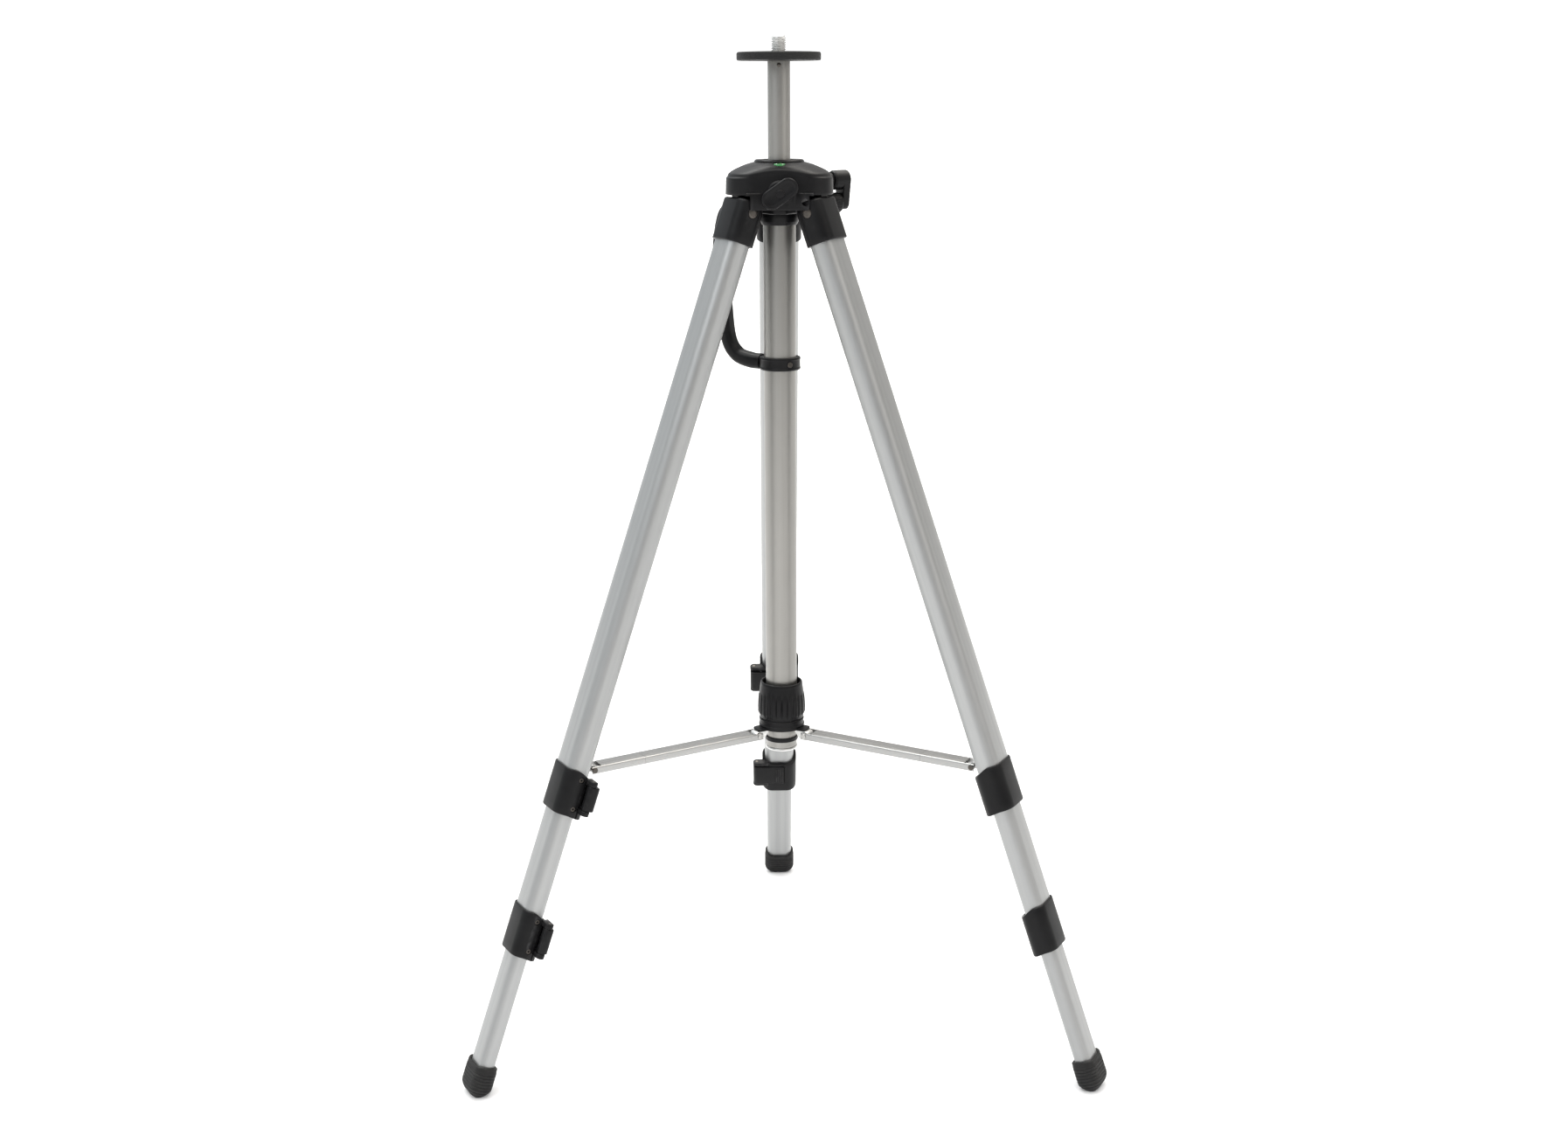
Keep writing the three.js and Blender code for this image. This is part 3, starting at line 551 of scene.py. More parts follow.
def lobe_reach(a):
    """The hood's outline as a radius at angle a: a triangle whose round corners lie over the legs."""
    best = None
    for azimuth in LEG_AT.values():
        d = (a - radians(azimuth) + pi) % (2 * pi) - pi
        if abs(d) <= TIP_HALF:
            best = LOBE_AT * cos(d) + sqrt(LOBE_R ** 2 - (LOBE_AT * sin(d)) ** 2)
        wall = (d - pi / 3 + pi) % (2 * pi) - pi
        if best is None and abs(wall) <= pi / 3 - TIP_HALF:
            best = WALL_AT / cos(wall)
    return best


def pocket_reach(a):
    """Below the lobes the drum is cut flat behind each leg socket."""
    best = DRUM_R
    for azimuth in LEG_AT.values():
        d = (a - radians(azimuth) + pi) % (2 * pi) - pi
        if abs(d) < pi / 2:
            best = soft_min(best, (PIVOT_R - POCKET) / max(cos(d), 1e-3), 1.5)
    return best


def head():
    steps, bore, bottom, under = 240, 12.4, 944.0, 2.2
    angles = [2 * pi * i / steps for i in range(steps)]

    def ring(reach, z):
        return [Vector((reach(a) * cos(a), reach(a) * sin(a), z)) for a in angles]

    def roof(z):
        """The roof falls from its bush almost straight, then drops away past its rim."""
        if z <= ROOF[0][0]:
            return ROOF[0][1] + 5.0 * (ROOF[0][0] - z)
        for (low, wide), (high, narrow) in zip(ROOF, ROOF[1:]):
            if z <= high:
                return wide + (narrow - wide) * (z - low) / (high - low)
        return ROOF[-1][1]

    def hood(a, z):
        """The wall between the front legs flares to meet the apron below it."""
        down = min(max((986 - z) / 20, 0), 1)
        front = max(cos(a - radians(270)), 0.0) ** 6
        return lobe_reach(a) - 0.04 * (z - HOOD_LOW) + 3.2 * front * down * down * (3 - 2 * down)

    loops = [ring(lambda a: bore, bottom), ring(lambda a: pocket_reach(a) - 5.5, bottom)]
    for k in range(1, 5):  # rounded lower edge
        t = radians(90 * k / 4)
        loops.append(ring(lambda a: pocket_reach(a) - under * (1 - sin(t)),
                          bottom + under * (1 - cos(t))))
    loops.append(ring(pocket_reach, 955.0))
    loops.append(ring(pocket_reach, 963.6))
    loops.append(ring(lambda a: min(pocket_reach(a) + 0.8, lobe_reach(a) - 1.6), HOOD_LOW))
    for k in range(0, 5):  # rounded lip of the hood
        t = radians(90 * k / 4)
        loops.append(ring(lambda a: hood(a, HOOD_LOW) - 1.4 * (1 - sin(t)),
                          HOOD_LOW + 1.4 * (1 - cos(t))))
    z = 967.5
    while z < HEAD_TOP:
        loops.append(ring(lambda a: soft_min(hood(a, z), roof(z), 7.0), z))
        z += 0.8 if z > 974 else 2.0
    loops.append(ring(lambda a: roof(HEAD_TOP - 0.1) - 1.0, HEAD_TOP - 0.05))
    loops.append(ring(lambda a: 24.0, HEAD_TOP))
    loops.append(ring(lambda a: bore, HEAD_TOP))
    body = loft(new(), loops, wrap=True)

    extra = []
    for azimuth in LEG_AT.values():  # lugs that carry the legs
        at = turn("Z", azimuth) @ move(PIVOT_R, 0, PIVOT_Z)
        side = [Vector((8 * cos(radians(t)), 8 * sin(radians(t)))) for t in range(-180, 1, 12)]
        side += [Vector((8, 21)), Vector((-8, 21))]
        extra.append(prism(new(), side, -7, 7, 0.7, at @ turn("X", 90)))
    # the apron between the front legs, the boss behind the lock knob, and the boss of the handle
    half, low = 36.0, 949.0
    apron = [Vector((half, -30)), Vector((-half, -30))]
    apron += [Vector((half * (k / 12 - 1), -46.75 - 3.25 * (k / 12 - 1) ** 2)) for k in range(25)]
    rooms = [cutter((PIVOT_R - POCKET - 0.4, PIVOT_R + 40), (-27, 27), (900, HOOD_LOW - 0.15),
                    turn("Z", azimuth))
             for azimuth in (LEG_AT["left"], LEG_AT["right"])]  # for the sockets to swing in
    extra.append(boolean(prism(new(), apron, low, HOOD_LOW + 3.0, 1.8), "DIFFERENCE", *rooms))
    extra.append(turned(new(), [(0, 30), (13.5, 30), (13.5, 46.6, 1.2), (11.5, 48.0, 0.8), (0, 48.0)],
                        move(0, 0, LOCK_Z) @ turn("X", 90), 64, 0.6))
    extra.append(block(new(), (28, 45.4), (-9, 9), (945.5, 960.4), turn("Z", HANDLE_AT), 1.2, 2.0))
    body = boolean(body, "UNION", *extra)
    rack = turn("Z", RACK_AT)
    shaft = rack @ move(23.55, 0, CRANK_Z) @ TO_Y
    cuts = [cutter((2, 17.6), (-4, 4), (930, 1010), rack),
            bar(new(), 12.0, -7, 7, shaft, 0.1, 48),
            bar(new(), 4.3, -90, 0, shaft, 0.1, 32),
            bar(new(), 4.3, 0, 60, move(0, 0, LOCK_Z) @ turn("X", 90), 0.1, 32),
            bar(new(), 6.9, LEVEL_TOP - 9.5, 1010, move(0, LEVEL_Y, 0), 0.1, 48),
            bar(new(), 18.5, 985, 1010, edge=0.1, steps=80)]
    for azimuth in LEG_AT.values():
        at = turn("Z", azimuth) @ move(PIVOT_R, 0, PIVOT_Z) @ TO_Y
        cuts.append(bar(new(), 3.3, -9, 9, at, 0.1, 32))
    # a round recess low on the front, right of the knob
    cuts.append(bar(new(), 3.9, 42, 60, move(27, 0, 957.5) @ turn("X", 90), 0.1, 36))
    body = boolean(body, "DIFFERENCE", *cuts)
    make("head_casting", body, plastic, STAND, "stand", "black_plastic", "head_body", sharp=42)

    top = HEAD_TOP + 2.8
    b = turned(new(), [(12.3, 985.4), (18.2, 985.4), (18.2, HEAD_TOP - 0.2), (27.0, HEAD_TOP - 0.2),
                       (27.0, HEAD_TOP + 1.2, 0.9), (25.4, top, 0.9), (18.5, top), (17.9, top - 0.8),
                       (14.2, top - 0.8), (13.3, top - 0.8), (13.3, 995.6), (12.3, 994.6)], steps=96,
               radius=0.25)
    b = boolean(b, "DIFFERENCE", cutter((2, 17.2), (-3.9, 3.9), (980, 1010), rack))
    make("column_bush", b, plastic, STAND, "stand", "black_plastic", "head_bush")


def level():
    """A round bubble level let into the roof, its clear top and side green."""
    at = move(0, LEVEL_Y, LEVEL_TOP)
    b = turned(new(), [(0, -9.2), (6.6, -9.2), (6.6, -6.6), (0, -6.6)], at, 64, 0.2)
    make("level_cup", b, plastic, STAND, "stand", "black_plastic", "level_housing")
    b = turned(new(), [(0, -6.2), (6.5, -6.2), (6.5, -0.7, 0.6), (5.6, -0.1, 0.5), (0, 0)], at, 64, 0.2)
    make("level_lens", b, green, STAND, "stand", "vial", "level_vial")
    b = turned(new(), [(2.0, -0.2), (2.3, -0.2), (2.3, 0.08), (2.0, 0.08)], at, 48, 0.05)
    make("level_circle", b, dark_steel, STAND, "stand", "steel")
    b = turned(new(), [(0, -0.3), (1.6, -0.3), (1.4, 0.15, 0.15), (0, 0.25)], at @ move(0.4, 0.2), 40,
               0.1)
    make("level_air_bubble", b, bubble, STAND, "stand", "vial")


def knob():
    place = STAND @ move(0, KNOB_BACK * MM, LOCK_Z * MM) @ turn("X", 90) @ turn("Z", KNOB_TILT)
    wing = rounded_rect(42, 21, 10.4, 12)
    loops = []
    for k in range(4):
        t = radians(90 * k / 3)
        loops.append(flat(inset(wing, 1.2 + 0.8 * (1 - sin(t))), 0.8 * (1 - cos(t))))
    loops.append(flat(inset(wing, 0.6), 4))
    for k in range(6):
        t = radians(90 * k / 5)
        loops.append(flat(inset(wing, 2.0 * (1 - cos(t))), 10.0 + 2.0 * sin(t)))
    loops.append(flat(inset(wing, 2.9), 11.9))
    loops.append(flat(inset(wing, 4.0), 11.1))
    loops.append(flat(inset(wing, 6.5), 10.7))
    b = loft(new(), loops)
    turned(b, [(0, 10.2), (4.4, 10.2), (4.4, 11.3), (3.4, 11.9), (0, 11.9)], steps=40, radius=0.4)
    make("lock_wing", b, plastic, place, "column_lock", "black_plastic", "lock_knob")
    b = bar(new(), 4.0, 13.2, -KNOB_BACK - 0.3, edge=0.6, steps=40)
    make("lock_spindle", b, steel, STAND @ move(0, 0, LOCK_Z * MM) @ turn("X", 90), "column_lock",
         "steel", "lock_screw")


def crank():
    out = Vector(JOINTS["crank_turn"]["axis"])
    place = axes(JOINTS["crank_turn"]["pos_m"], out, Vector((0, 0, 1)).cross(out))
    # the arm hangs from the shaft's end, thick at the hub and narrower at the grip
    drop, arm, hub_r = 25.0, 92.0, 11.0
    shape = []
    for k in range(25):
        t = radians(-90 + 180 * k / 24)
        shape.append(Vector((drop + 7.4 * cos(t), 7.4 * sin(t))))
    for k in range(25):
        t = radians(90 + 180 * k / 24)
        shape.append(Vector((hub_r * cos(t), hub_r * sin(t))))
    # the prism's Z becomes the shaft's X, and its X points down
    hang = Matrix(((0, 0, 1, 0), (0, 1, 0, 0), (-1, 0, 0, 0), (0, 0, 0, 1)))
    b = prism(new(), shape, 0, 9.5, 2.2, hang, 5)
    b = boolean(b, "UNION", turned(new(), [(0, -10.8), (9.6, -10.8, 0.8), (hub_r - 0.2, -8.4, 1.2),
                                           (hub_r, 6), (0, 6)], hang, 64, 0.4))
    b = boolean(b, "DIFFERENCE", bar(new(), 4.3, -12, 6, hang, 0.1, 32))
    make("crank_lever", b, plastic, place @ move(arm * MM, 0, 0), "crank", "black_plastic", "crank_arm")
    b = turned(new(), [(0, 96), (4.4, 96), (4.4, 102.2, 0.6), (3.2, 102.9, 0.4), (0, 102.9)], TO_X, 32,
               0.3)
    make("crank_nut", b, dark_steel, place, "crank", "steel")
    b = turned(new(), [(4.35, 44), (6.6, 44), (8.0, 60, 1), (8.0, 80.6), (4.35, 80.6)], TO_X, 48, 0.4)
    make("crank_sleeve", b, plastic, place, "stand", "black_plastic")
    # grip: a ribbed roller on the arm's inner side
    hold = place @ move((arm - 0.3) * MM, 0, -drop * MM)
    steps = 120
    loops = []
    for x, r, rib in ((-21, 0.5, 0), (-21, 8.8, 0), (-20.6, 10.2, 0), (-19.6, 11.0, 0), (-18, 11.3, 0),
                      (-17, 11.45, 1), (-10, 11.1, 1), (-4, 11.45, 1), (-3, 11.3, 0), (-1.4, 11.0, 0),
                      (-0.4, 10.4, 0), (0, 9.6, 0), (0, 0.5, 0)):
        loops.append([Vector((x, q * cos(a), q * sin(a))) for a, q in
                      ((2 * pi * i / steps, r - 0.55 * rib * (i % 6 in (0, 1))) for i in range(steps))])
    b = loft(new(), loops)
    make("crank_roller", b, plastic, hold, "crank_grip", "black_plastic", "crank_grip")


# ---------------------------------------------------------------- carrying handle
def handle():
    path = spline([(r, 0, z) for r, z in ((44, 951.5), (55, 950.5), (68, 938), (75, 900), (71, 850),
                                          (66, 806), (55, 788), (38, 782), (23.0, 781))], 10)
    grip = rounded_rect(16.4, 19.6, 6.5, 6)
    loops = []
    for i, p in enumerate(path):
        t = Vector(path[min(i + 1, len(path) - 1)]) - Vector(path[max(i - 1, 0)])
        t.normalize()
        side = Vector((-t.z, 0, t.x))
        share = i / (len(path) - 1)
        slim = 1 - 0.16 * sin(pi * min(max((share - 0.25) / 0.6, 0), 1))
        loops.append([p + side * (q[0] * slim) + Vector((0, q[1], 0)) for q in grip])
    b = loft(new(), loops, turn("Z", HANDLE_AT))
    make("handle_bow", b, plastic, STAND, "stand", "black_plastic", "carrying_handle")
    b = turned(new(), [(RUN_R, 774), (22.2, 774, 0.8), (23, 776, 0.8), (22.4, 777, 0.3),
                       (22.4, 785, 0.3), (23, 786, 0.8), (22.2, 788, 0.8), (RUN_R, 788)], steps=96,
               radius=0.3)
    make("handle_band", b, plastic, STAND, "stand", "black_plastic", "handle_ring")
    b = turned(new(), [(0, 0), (3.0, 0), (3.0, 1.4, 0.5), (1.2, 1.4), (1.2, 0.6), (0, 0.6)], steps=28,
               radius=0.2)
    make("handle_screw", b, dark_steel, STAND @ turn("Z", -62) @ move(22.3 * MM, 0, 0.781) @ TO_X,
         "stand", "steel")


# ---------------------------------------------------------------- spreader hub and twist nut
def hub():
    """A ring with a tab over each strut, the metal tangs that the struts hinge on, and their pins."""
    b = turned(new(), [(RUN_R, 357), (26.3, 357, 1.0), (26.5, 361, 0.5), (25.7, 362, 0.4), (25.7, 366.6),
                       (26.2, 367.4, 0.4), (25.4, 368.5, 0.6), (RUN_R, 368.5)], steps=112, radius=0.3)
    tools, tangs = [], new()
    for azimuth in LEG_AT.values():
        at = turn("Z", azimuth)
        tab = fillet([(19, -8.5, 0), (32, -8.5, 2), (34.4, -6, 2), (34.4, 6, 2), (32, 8.5, 2),
                      (19, 8.5, 0)], 1.0)
        tools.append(prism(new(), tab, 356.8, 359.2, 0.6, at))
        lug = [Vector((34 + 5.2 * cos(radians(t)), -1 + 5.2 * sin(radians(t))))
               for t in range(-90, 91, 10)]
        lug += [Vector((32, 6)), Vector((21, 6)), Vector((21, 2)), Vector((28, -6.2))]
        prism(tangs, lug, -6.4, 6.4, 0.6, at @ move(0, 0, 352) @ turn("X", 90))
    tools.append(turned(new(), [(RUN_R, 341.5), (19.0, 341.5, 0.4), (19.2, 346.3, 0.4), (RUN_R, 346.3)],
                        steps=112, radius=0.3))
    b = boolean(b, "UNION", *tools)
    b = boolean(b, "DIFFERENCE", bar(new(), RUN_R, 300, 400, edge=0.1, steps=112))
    make("spreader_collar", b, plastic, STAND, "hub", "black_plastic", "spreader_hub", sharp=42)
    make("strut_tangs", tangs, cast, STAND, "hub", "bright_metal")
    for side in SIDES:
        b = bar(new(), 2.2, -10.6, 10.6, TO_Y, 0.6, 28)
        bar(b, 3.4, 10.0, 11.0, TO_Y, 0.4, 28)
        bar(b, 3.4, -11.0, -10.0, TO_Y, 0.4, 28)
        make(f"{side}_hub_pin", b, steel, strut_place(side), "hub", "steel")


def nut():
    steps, low = 288, 368.8
    # height, radius, and how deep the grooves are there
    rows = ((0, 25.0, 0), (0.4, 25.4, 0), (2.6, 25.5, 0), (3.4, 25.8, 0), (5.2, 26.5, 0.4),
            (7.2, 26.95, 1), (14, 26.95, 1), (20, 26.7, 1), (25, 26.3, 1), (28.5, 25.9, 0.6),
            (30.5, 25.6, 0), (36, 24.9, 0), (40, 24.35, 0), (42.2, 24.0, 0), (43.0, 23.4, 0),
            (43.2, 22.8, 0), (42.9, 22.1, 0), (41.5, 21.6, 0), (29, 21.2, 0), (24, RUN_R, 0),
            (0, RUN_R, 0))
    loops = []
    for z, r, rib in rows:
        loop = []
        for i in range(steps):
            a = 2 * pi * i / steps
            groove = max(0.0, cos(24 * a)) ** 2  # 24 grooves
            reach = r + rib * (0.55 - 1.35 * groove)
            loop.append(Vector((reach * cos(a), reach * sin(a), low + z)))
        loops.append(loop)
    b = loft(new(), loops, wrap=True)
    make("twist_grip", b, plastic, STAND, "nut", "black_plastic", "twist_nut", sharp=45)


# ---------------------------------------------------------------- struts
def channel(start, end):
    """An inverted channel along X, its bends rounded."""
    y, top, low, sheet = 10.0, 3.8, -4.2, 1.0
    section = fillet([(-y, low), (-y, top, 1.4), (y, top, 1.4), (y, low), (y - sheet, low),
                      (y - sheet, top - sheet, 0.6), (-y + sheet, top - sheet, 0.6),
                      (-y + sheet, low)], 0.2, 4)
    return loft(new(), [[Vector((x, p[0], p[1])) for p in section] for x in (start, end)])


def struts():
    for side in SIDES:
        hub_pin = Vector(JOINTS[f"{side}_strut_swing"]["pos_m"])
        leg_pin = Vector(JOINTS[f"{side}_tie_swing"]["pos_m"])
        long = (leg_pin - hub_pin).length / MM
        seam = long - 62.0
        place = strut_place(side)
        b = boolean(channel(-3.4, seam), "DIFFERENCE", bar(new(), 2.5, -20, 20, TO_Y, 0.1, 32),
                    block(new(), (-10, 9), (-8.9, 8.9), (1.5, 9), edge=0.1, corner=0.2))
        make(f"{side}_strut_channel", b, bright, place, f"{side}_strut", "bright_metal", f"{side}_strut")
        # the outer end, on the leg: the same channel, and the flat tie that runs on inside it
        relief = block(new(), (long - 9, long + 20), (-8.9, 8.9), (1.5, 9), edge=0.1, corner=0.2)
        hole = bar(new(), 2.5, -20, 20, move(long) @ TO_Y, 0.1, 32)
        b = boolean(channel(seam + 0.25, long + 3.0), "DIFFERENCE", relief, hole)
        block(b, (seam - 55.8, long - 12), (-8.4, 8.4), (-3.9, -2.9), edge=0.3, corner=3)
        make(f"{side}_strut_end", b, bright, place, f"{side}_tie", "bright_metal", f"{side}_strut_tie")


# ---------------------------------------------------------------- legs
# Across the leg, through the leg, corner radius
UPPER, MIDDLE, LOWER = (44.5, 28.0, 12.0), (39.0, 24.0, 10.5), (33.3, 19.3, 8.8)
UPPER_SPAN, MIDDLE_SPAN, LOWER_SPAN = (12, 650), (238, 814), (420, 990)
# top, bottom, deep, wide, and the lever pin's place across
LOCK1, LOCK2 = (626, 677, 38.0, 50.5, 33.0), (790, 842, 34.0, 46.0, 30.5)
BOOT_TOP = 972
# the lever's pin and its ears; the lever's free end lies at ACROSS
PIN_X, EAR_R, EAR_TOP, EAR_BOTTOM, EAR_TALL, ACROSS = -12.0, 5.0, 12.0, 11.0, 5.5, -6.0


def section(size, grow=0.0, steps=7):
    wide, deep, corner = size
    return rounded_rect(deep + 2 * grow, wide + 2 * grow, max(corner + grow, 1.0), steps)


def leg_tube(size, span):
    top, bottom = -span[0], -span[1]
    edge, wall = 0.35, 1.5
    loops = [flat(section(size, -wall), bottom), flat(section(size, -edge), bottom),
             flat(section(size), bottom + edge), flat(section(size), top - edge),
             flat(section(size, -edge), top), flat(section(size, -wall), top)]
    return loft(new(), loops, wrap=True)


def socket():
    """The leg's top end: hollow for the tube below, slotted on the inner side for the head's lug."""
    wide, deep, corner = 50.0, 34.0, 13.0
    loops = []
    for k in range(4):
        t = radians(90 * k / 3)
        loops.append(flat(rounded_rect(deep - 1.6 * (1 - sin(t)), wide - 1.6 * (1 - sin(t)), corner),
                          -34 + 0.8 * (1 - cos(t))))
    loops.append(flat(rounded_rect(deep, wide, corner), -26))
    loops.append(flat(rounded_rect(deep, wide, corner), -2))
    # the inner side turns in round the pivot, the outer one stands up under the hood
    edge, summit = 3.2, 12.4
    for k in range(1, 15):
        z = summit * k / 14
        inner = sqrt((deep / 2) ** 2 - z ** 2)
        outer = deep / 2 - edge + sqrt(edge ** 2 - max(z - summit + edge, 0) ** 2)
        loops.append([p + Vector(((outer - inner) / 2, 0, 0)) for p in
                      flat(rounded_rect(inner + outer, wide, min(corner, (inner + outer) / 2 - 0.3)),
                           z)])
    b = loft(new(), loops)
    hollow = loft(new(), [flat(section(UPPER, 0.25), -35), flat(section(UPPER, 0.25), -11.5)])
    slot = cutter((-30, 13.6), (-7.5, 7.5), (-9, 30))
    bore = bar(new(), 3.3, -30, 30, TO_Y, 0.1, 32)
    sink = [bar(new(), 5.6, s * 25 - 1.2, s * 25 + 1.2, TO_Y, 0.1, 40) for s in (-1, 1)]
    return boolean(b, "DIFFERENCE", hollow, slot, bore, *sink)


SCREW_X = -1.6


def screw_heights(lock):
    """The two screws of a clamp, the lower one first."""
    return (-lock[1] + 8.5, -lock[0] - 9.5)


def lock_collar(above, below, lock):
    top, bottom, deep, wide, pin_y = lock
    corner = above[2] + 3
    trim = 3.0  # the outer wall is thinner than the inner one, where the lever lies
    outline = [p - Vector((trim / 2, 0)) for p in rounded_rect(deep - trim, wide, corner)]

    def scooped(points, z, depth):
        """Both rims dip by depth towards the inner face."""
        out = []
        for p in points:
            t = min(max((6 - p[0]) / (deep / 2 + 6), 0), 1)
            out.append(Vector((p[0], p[1], z - depth * t * t * (3 - 2 * t))))
        return out

    loops = [scooped(section(below, 0.3), -bottom, 4.0)]
    for k in range(5):
        t = radians(90 * k / 4)
        loops.append(scooped(inset(outline, 1.6 * (1 - sin(t))), -bottom + 1.6 * (1 - cos(t)), 4.0))
    loops.append(flat(outline, -bottom + 9))
    loops.append(flat(outline, -top - 15))
    for k in range(4, -1, -1):
        t = radians(90 * k / 4)
        loops.append(scooped(inset(outline, 1.1 * (1 - sin(t))), -top - 1.1 * (1 - cos(t)), 9.4))
    for grow, drop, depth in ((1.7, 0.0, 9.4), (1.5, 1.4, 9.2), (0.3, 1.8, 9.0)):
        loops.append(scooped(section(above, grow), -top - drop, depth))
    loops.append(flat(section(above, 0.3), -top - 25.2))
    loops.append(flat(section(below, 0.3), -top - 25.4))
    b = loft(new(), loops, wrap=True)
    low, high = -bottom + EAR_BOTTOM, -top - EAR_TOP
    # recess for the lever, and the split line of the clamp beside it
    recess = block(new(), (-deep / 2 - 20, -deep / 2 + 3), (ACROSS - 1, 70), (low, high), edge=0.4,
                   corner=0.6)
    split = block(new(), (-8.6, -6.4), (wide / 2 - 2.2, 70), (-bottom - 5, -top + 5), edge=0.1,
                  corner=0.3)
    seats = [bar(new(), 3.2, wide / 2 - 1.4, wide, move(SCREW_X, 0, z) @ TO_Y, 0.1, 36)
             for z in screw_heights(lock)]
    b = boolean(b, "DIFFERENCE", recess, split, *seats)
    ears = []
    for z0, z1 in ((low - EAR_TALL, low), (high, high + EAR_TALL)):
        shape = [Vector((PIN_X + EAR_R * cos(radians(t)), pin_y + EAR_R * sin(radians(t))))
                 for t in range(0, 181, 12)]
        shape += [Vector((PIN_X - EAR_R, wide / 2 - 8)), Vector((PIN_X + EAR_R - 2, wide / 2 - 3)),
                  Vector((PIN_X + EAR_R, wide / 2 - 1))]
        ears.append(prism(new(), shape, z0, z1, 0.9))
    return boolean(b, "UNION", *ears)


def lock_lever(lock):
    top, bottom, deep, wide, pin_y = lock
    low, high = -bottom + EAR_BOTTOM + 0.3, -top - EAR_TOP - 0.3
    face = -deep / 2 + 3 - 0.3
    back = face - 5.0
    outline = fillet([(face, ACROSS, 0.8), (face, wide / 2 - 1, 1.2), (PIN_X - 1, wide / 2 + 1, 1.0),
                      (PIN_X + 4.7, pin_y - 4.7, 4.4), (PIN_X + 4.7, pin_y + 4.7, 4.6),
                      (back, pin_y + 4.7, 5.5), (back, wide / 2 - 6, 6.0), (back + 1.2, 4, 8.0),
                      (back + 0.2, ACROSS + 3.0, 2.5), (back - 0.4, ACROSS, 1.6)], 1.0, 6)
    b = prism(new(), outline, low, high, 1.1, steps=4)
    bore = bar(new(), 2.1, low - 1, high + 1, move(PIN_X, pin_y), 0.1, 28)
    b = boolean(b, "DIFFERENCE", bore)
    # finger ribs at the free end
    for k in range(4):
        y = ACROSS + 2.2 + 2.6 * k
        bar(b, 0.55, low + 3, high - 3, move(back + 0.1 + 0.25 * k, y), 0.3, 12)
    return b


def lock_fittings(lock):
    """The lever's pin and the clamp's two screws."""
    top, bottom, _, wide, pin_y = lock
    past = EAR_TALL + 0.3
    b = bar(new(), 1.8, -bottom + EAR_BOTTOM - past, -top - EAR_TOP + past, move(PIN_X, pin_y), 0.4, 24)
    for z in screw_heights(lock):
        turned(b, [(0, -2), (2.8, -2), (2.8, 0.2, 0.5), (1.3, 0.2), (1.3, -0.9), (0, -0.9)],
               move(SCREW_X, wide / 2 - 0.9, z) @ TO_Y, 24, 0.2)
    return b


def boot():
    """The rubber foot, cut off level with the ground."""
    wide, deep, corner = 40.5, 27.0, 11.0

    def round_off(half, radius, centre, station):
        return min(half, sqrt(radius ** 2 - max(station - centre, 0) ** 2))

    def bullet(station, grow=0.0):
        """The boot's section: full above, rounding off across and through towards the ground."""
        across = round_off(wide / 2, 21.0, 992.0, station) + grow
        through = round_off(deep / 2, 14.0, 996.0, station) + grow
        return flat(rounded_rect(2 * through, 2 * across, corner + grow), -station)

    loops = [bullet(station) for station in (1009.8, 1009.4, 1008.6, 1007.4, 1006.0, 1004.4)]
    z = -1002.6
    while z < -BOOT_TOP - 8:  # moulded grooves
        for up, grow in ((0.0, 0.0), (0.5, -0.55), (1.3, -0.55), (1.8, 0.0)):
            loops.append(bullet(-z - up, grow))
        z += 3.6
    # the rim: round outside, dipping in the middle of each face, and closed on the tube
    for size, grow, drop, across in (
        ((wide, deep, corner), -0.2, 5.5, 17.0), ((wide, deep, corner), -0.6, 3.4, 17.0),
        ((wide, deep, corner), -0.5, 1.6, 17.0), ((wide, deep, corner), -0.7, 0.5, 17.0),
        ((wide, deep, corner), -1.2, 0.0, 17.0), (LOWER, 0.9, 0.3, 15.5), (LOWER, 0.25, 1.4, 15.5),
    ):
        loops.append([Vector((p.x, p.y, -BOOT_TOP - drop - 2.2 * (1 - min(abs(p.y) / across, 1) ** 2)))
                      for p in section(size, grow)])
    loops.append(flat(section(LOWER, 0.25), -LOWER_SPAN[1] - 0.4))
    b = loft(new(), loops)
    # level with the ground: in the leg's frame the floor leans by the leg's splay
    place = leg_place("left")
    down = (place.inverted().to_3x3() @ Vector((0, 0, -1))).normalized()
    distance = place.translation.z / MM - 0.02
    half = 1600
    ground = cutter((-half, half), (-half, half), (0, 300), Matrix.Translation(down * distance)
                    @ down.to_track_quat("Z", "Y").to_matrix().to_4x4())
    return boolean(b, "DIFFERENCE", ground)


def bracket(pin_x, pin_z):
    """The fork riveted to the leg's inner face; it carries the strut's outer end."""
    face = -(UPPER[1] / 2) - 0.15
    foot = rounded_rect(22, 20, 3.5, 5)
    b = prism(new(), foot, 0, 2.2, 0.6, move(face, 0, pin_z + 8) @ turn("Y", -90))
    eye = [Vector((3.9 * cos(radians(t)), 3.9 * sin(radians(t)))) for t in range(-90, 91, 12)]
    lug = [Vector((pin_x - e.x, pin_z + e.y)) for e in eye]
    lug += [Vector((face - 1.2, pin_z + 7.5)), Vector((face - 1.2, pin_z - 2.9))]
    return boolean(b, "UNION", prism(new(), lug[::-1], -6, 6, 0.7, turn("X", 90)))


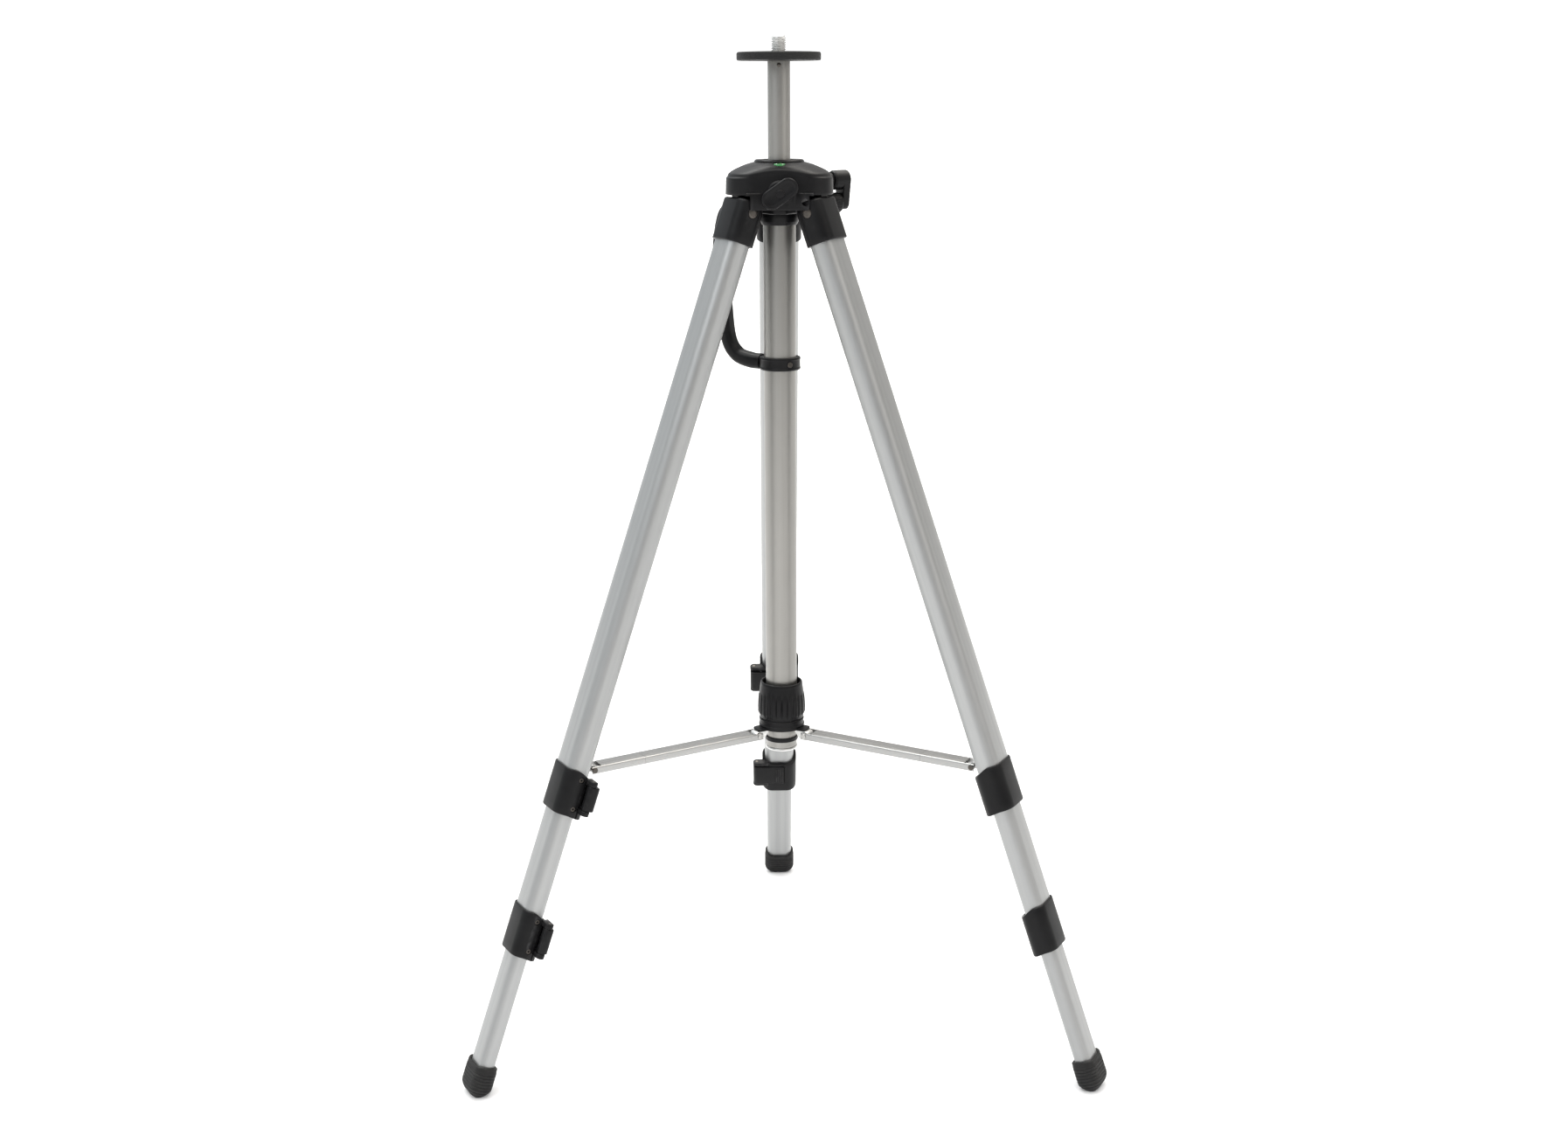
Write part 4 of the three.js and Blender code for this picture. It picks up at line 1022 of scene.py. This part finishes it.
def bracket_fittings(pin_x, pin_z):
    face = -(UPPER[1] / 2) - 2.2
    b = bar(new(), 2.0, -10.8, 10.8, move(pin_x, 0, pin_z) @ TO_Y, 0.6, 28)
    for s in (-1, 1):
        bar(b, 3.2, min(s * 10.2, s * 11.2), max(s * 10.2, s * 11.2), move(pin_x, 0, pin_z) @ TO_Y, 0.4,
            28)
        turned(b, [(0, -1), (2.7, -1), (2.7, 0.5, 0.5), (1.4, 1.3, 0.5), (0, 1.5)],
               move(face + 0.2, s * 5.2, pin_z + 14.5) @ turn("Y", -90), 28, 0.2)
    return b


def pivot_pin():
    """The bolt on which a leg folds, with a domed head at each end."""
    b = bar(new(), 3.0, -25.2, 25.2, TO_Y, 0.3, 32)
    for s in (-1, 1):
        turned(b, [(0, 23.9), (5.1, 23.9), (5.1, 24.9, 0.5), (2.6, 25.5, 0.5), (2.0, 24.9, 0.2),
                   (0, 24.9)], turn("X", -90 * s), 36, 0.2)
    return b


def legs():
    pin = leg_place("left").inverted() @ Vector(JOINTS["left_tie_swing"]["pos_m"]) / MM
    # name, body, slot, shape, material, where it is sharp, and the node that it stands for
    shared = []
    for name, body, slot, shape, material, sharp, node in (
        ("pivot_bolt", "stand", "steel", pivot_pin(), dark_steel, 38, "leg_pivot_pin"),
        ("leg_shoe", "leg", "black_plastic", socket(), plastic, 42, "leg_socket"),
        ("upper_section", "leg", "anodised", leg_tube(UPPER, UPPER_SPAN), anodised, 38, "upper_tube"),
        ("strut_fork", "leg", "bright_metal", bracket(pin.x, pin.z), cast, 38, "strut_bracket"),
        ("fork_fittings", "leg", "steel", bracket_fittings(pin.x, pin.z), dark_steel, 38, None),
        ("upper_clamp", "leg", "black_plastic", lock_collar(UPPER, MIDDLE, LOCK1), plastic, 42,
         "upper_lock_collar"),
        ("upper_clamp_fittings", "leg", "steel", lock_fittings(LOCK1), dark_steel, 38, None),
        ("upper_flip_lever", "upper_lever", "black_plastic", lock_lever(LOCK1), plastic, 42,
         "upper_lock_lever"),
        ("middle_section", "middle", "anodised", leg_tube(MIDDLE, MIDDLE_SPAN), anodised, 38,
         "middle_tube"),
        ("lower_clamp", "middle", "black_plastic", lock_collar(MIDDLE, LOWER, LOCK2), plastic, 42,
         "lower_lock_collar"),
        ("lower_clamp_fittings", "middle", "steel", lock_fittings(LOCK2), dark_steel, 38, None),
        ("lower_flip_lever", "lower_lever", "black_plastic", lock_lever(LOCK2), plastic, 42,
         "lower_lock_lever"),
        ("lower_section", "lower", "anodised", leg_tube(LOWER, LOWER_SPAN), anodised, 38, "lower_tube"),
        ("rubber_boot", "lower", "rubber", boot(), rubber, 42, "foot"),
    ):
        shared.append((name, body, slot, mesh_of(name, shape, material, sharp), node))
    for side in SIDES:
        place = leg_place(side)
        for name, body, slot, mesh, node in shared:
            rides = body if body == "stand" else f"{side}_{body}"
            nodes = [f"{side}_{node}"] if node else []
            piece(f"{side}_{name}", mesh, place, rides, slot, *nodes)


# ---------------------------------------------------------------- everything
camera()
floor()
light()
screw()
plate()
column()
centre_tube()
head()
level()
knob()
crank()
handle()
hub()
nut()
struts()
legs()
for node, material in (("column_end_stop", plastic), ("column_rack", steel), ("crank_shaft", steel)):
    o = frame["nodes"][node]
    o.data.materials.clear()
    o.data.materials.append(material)
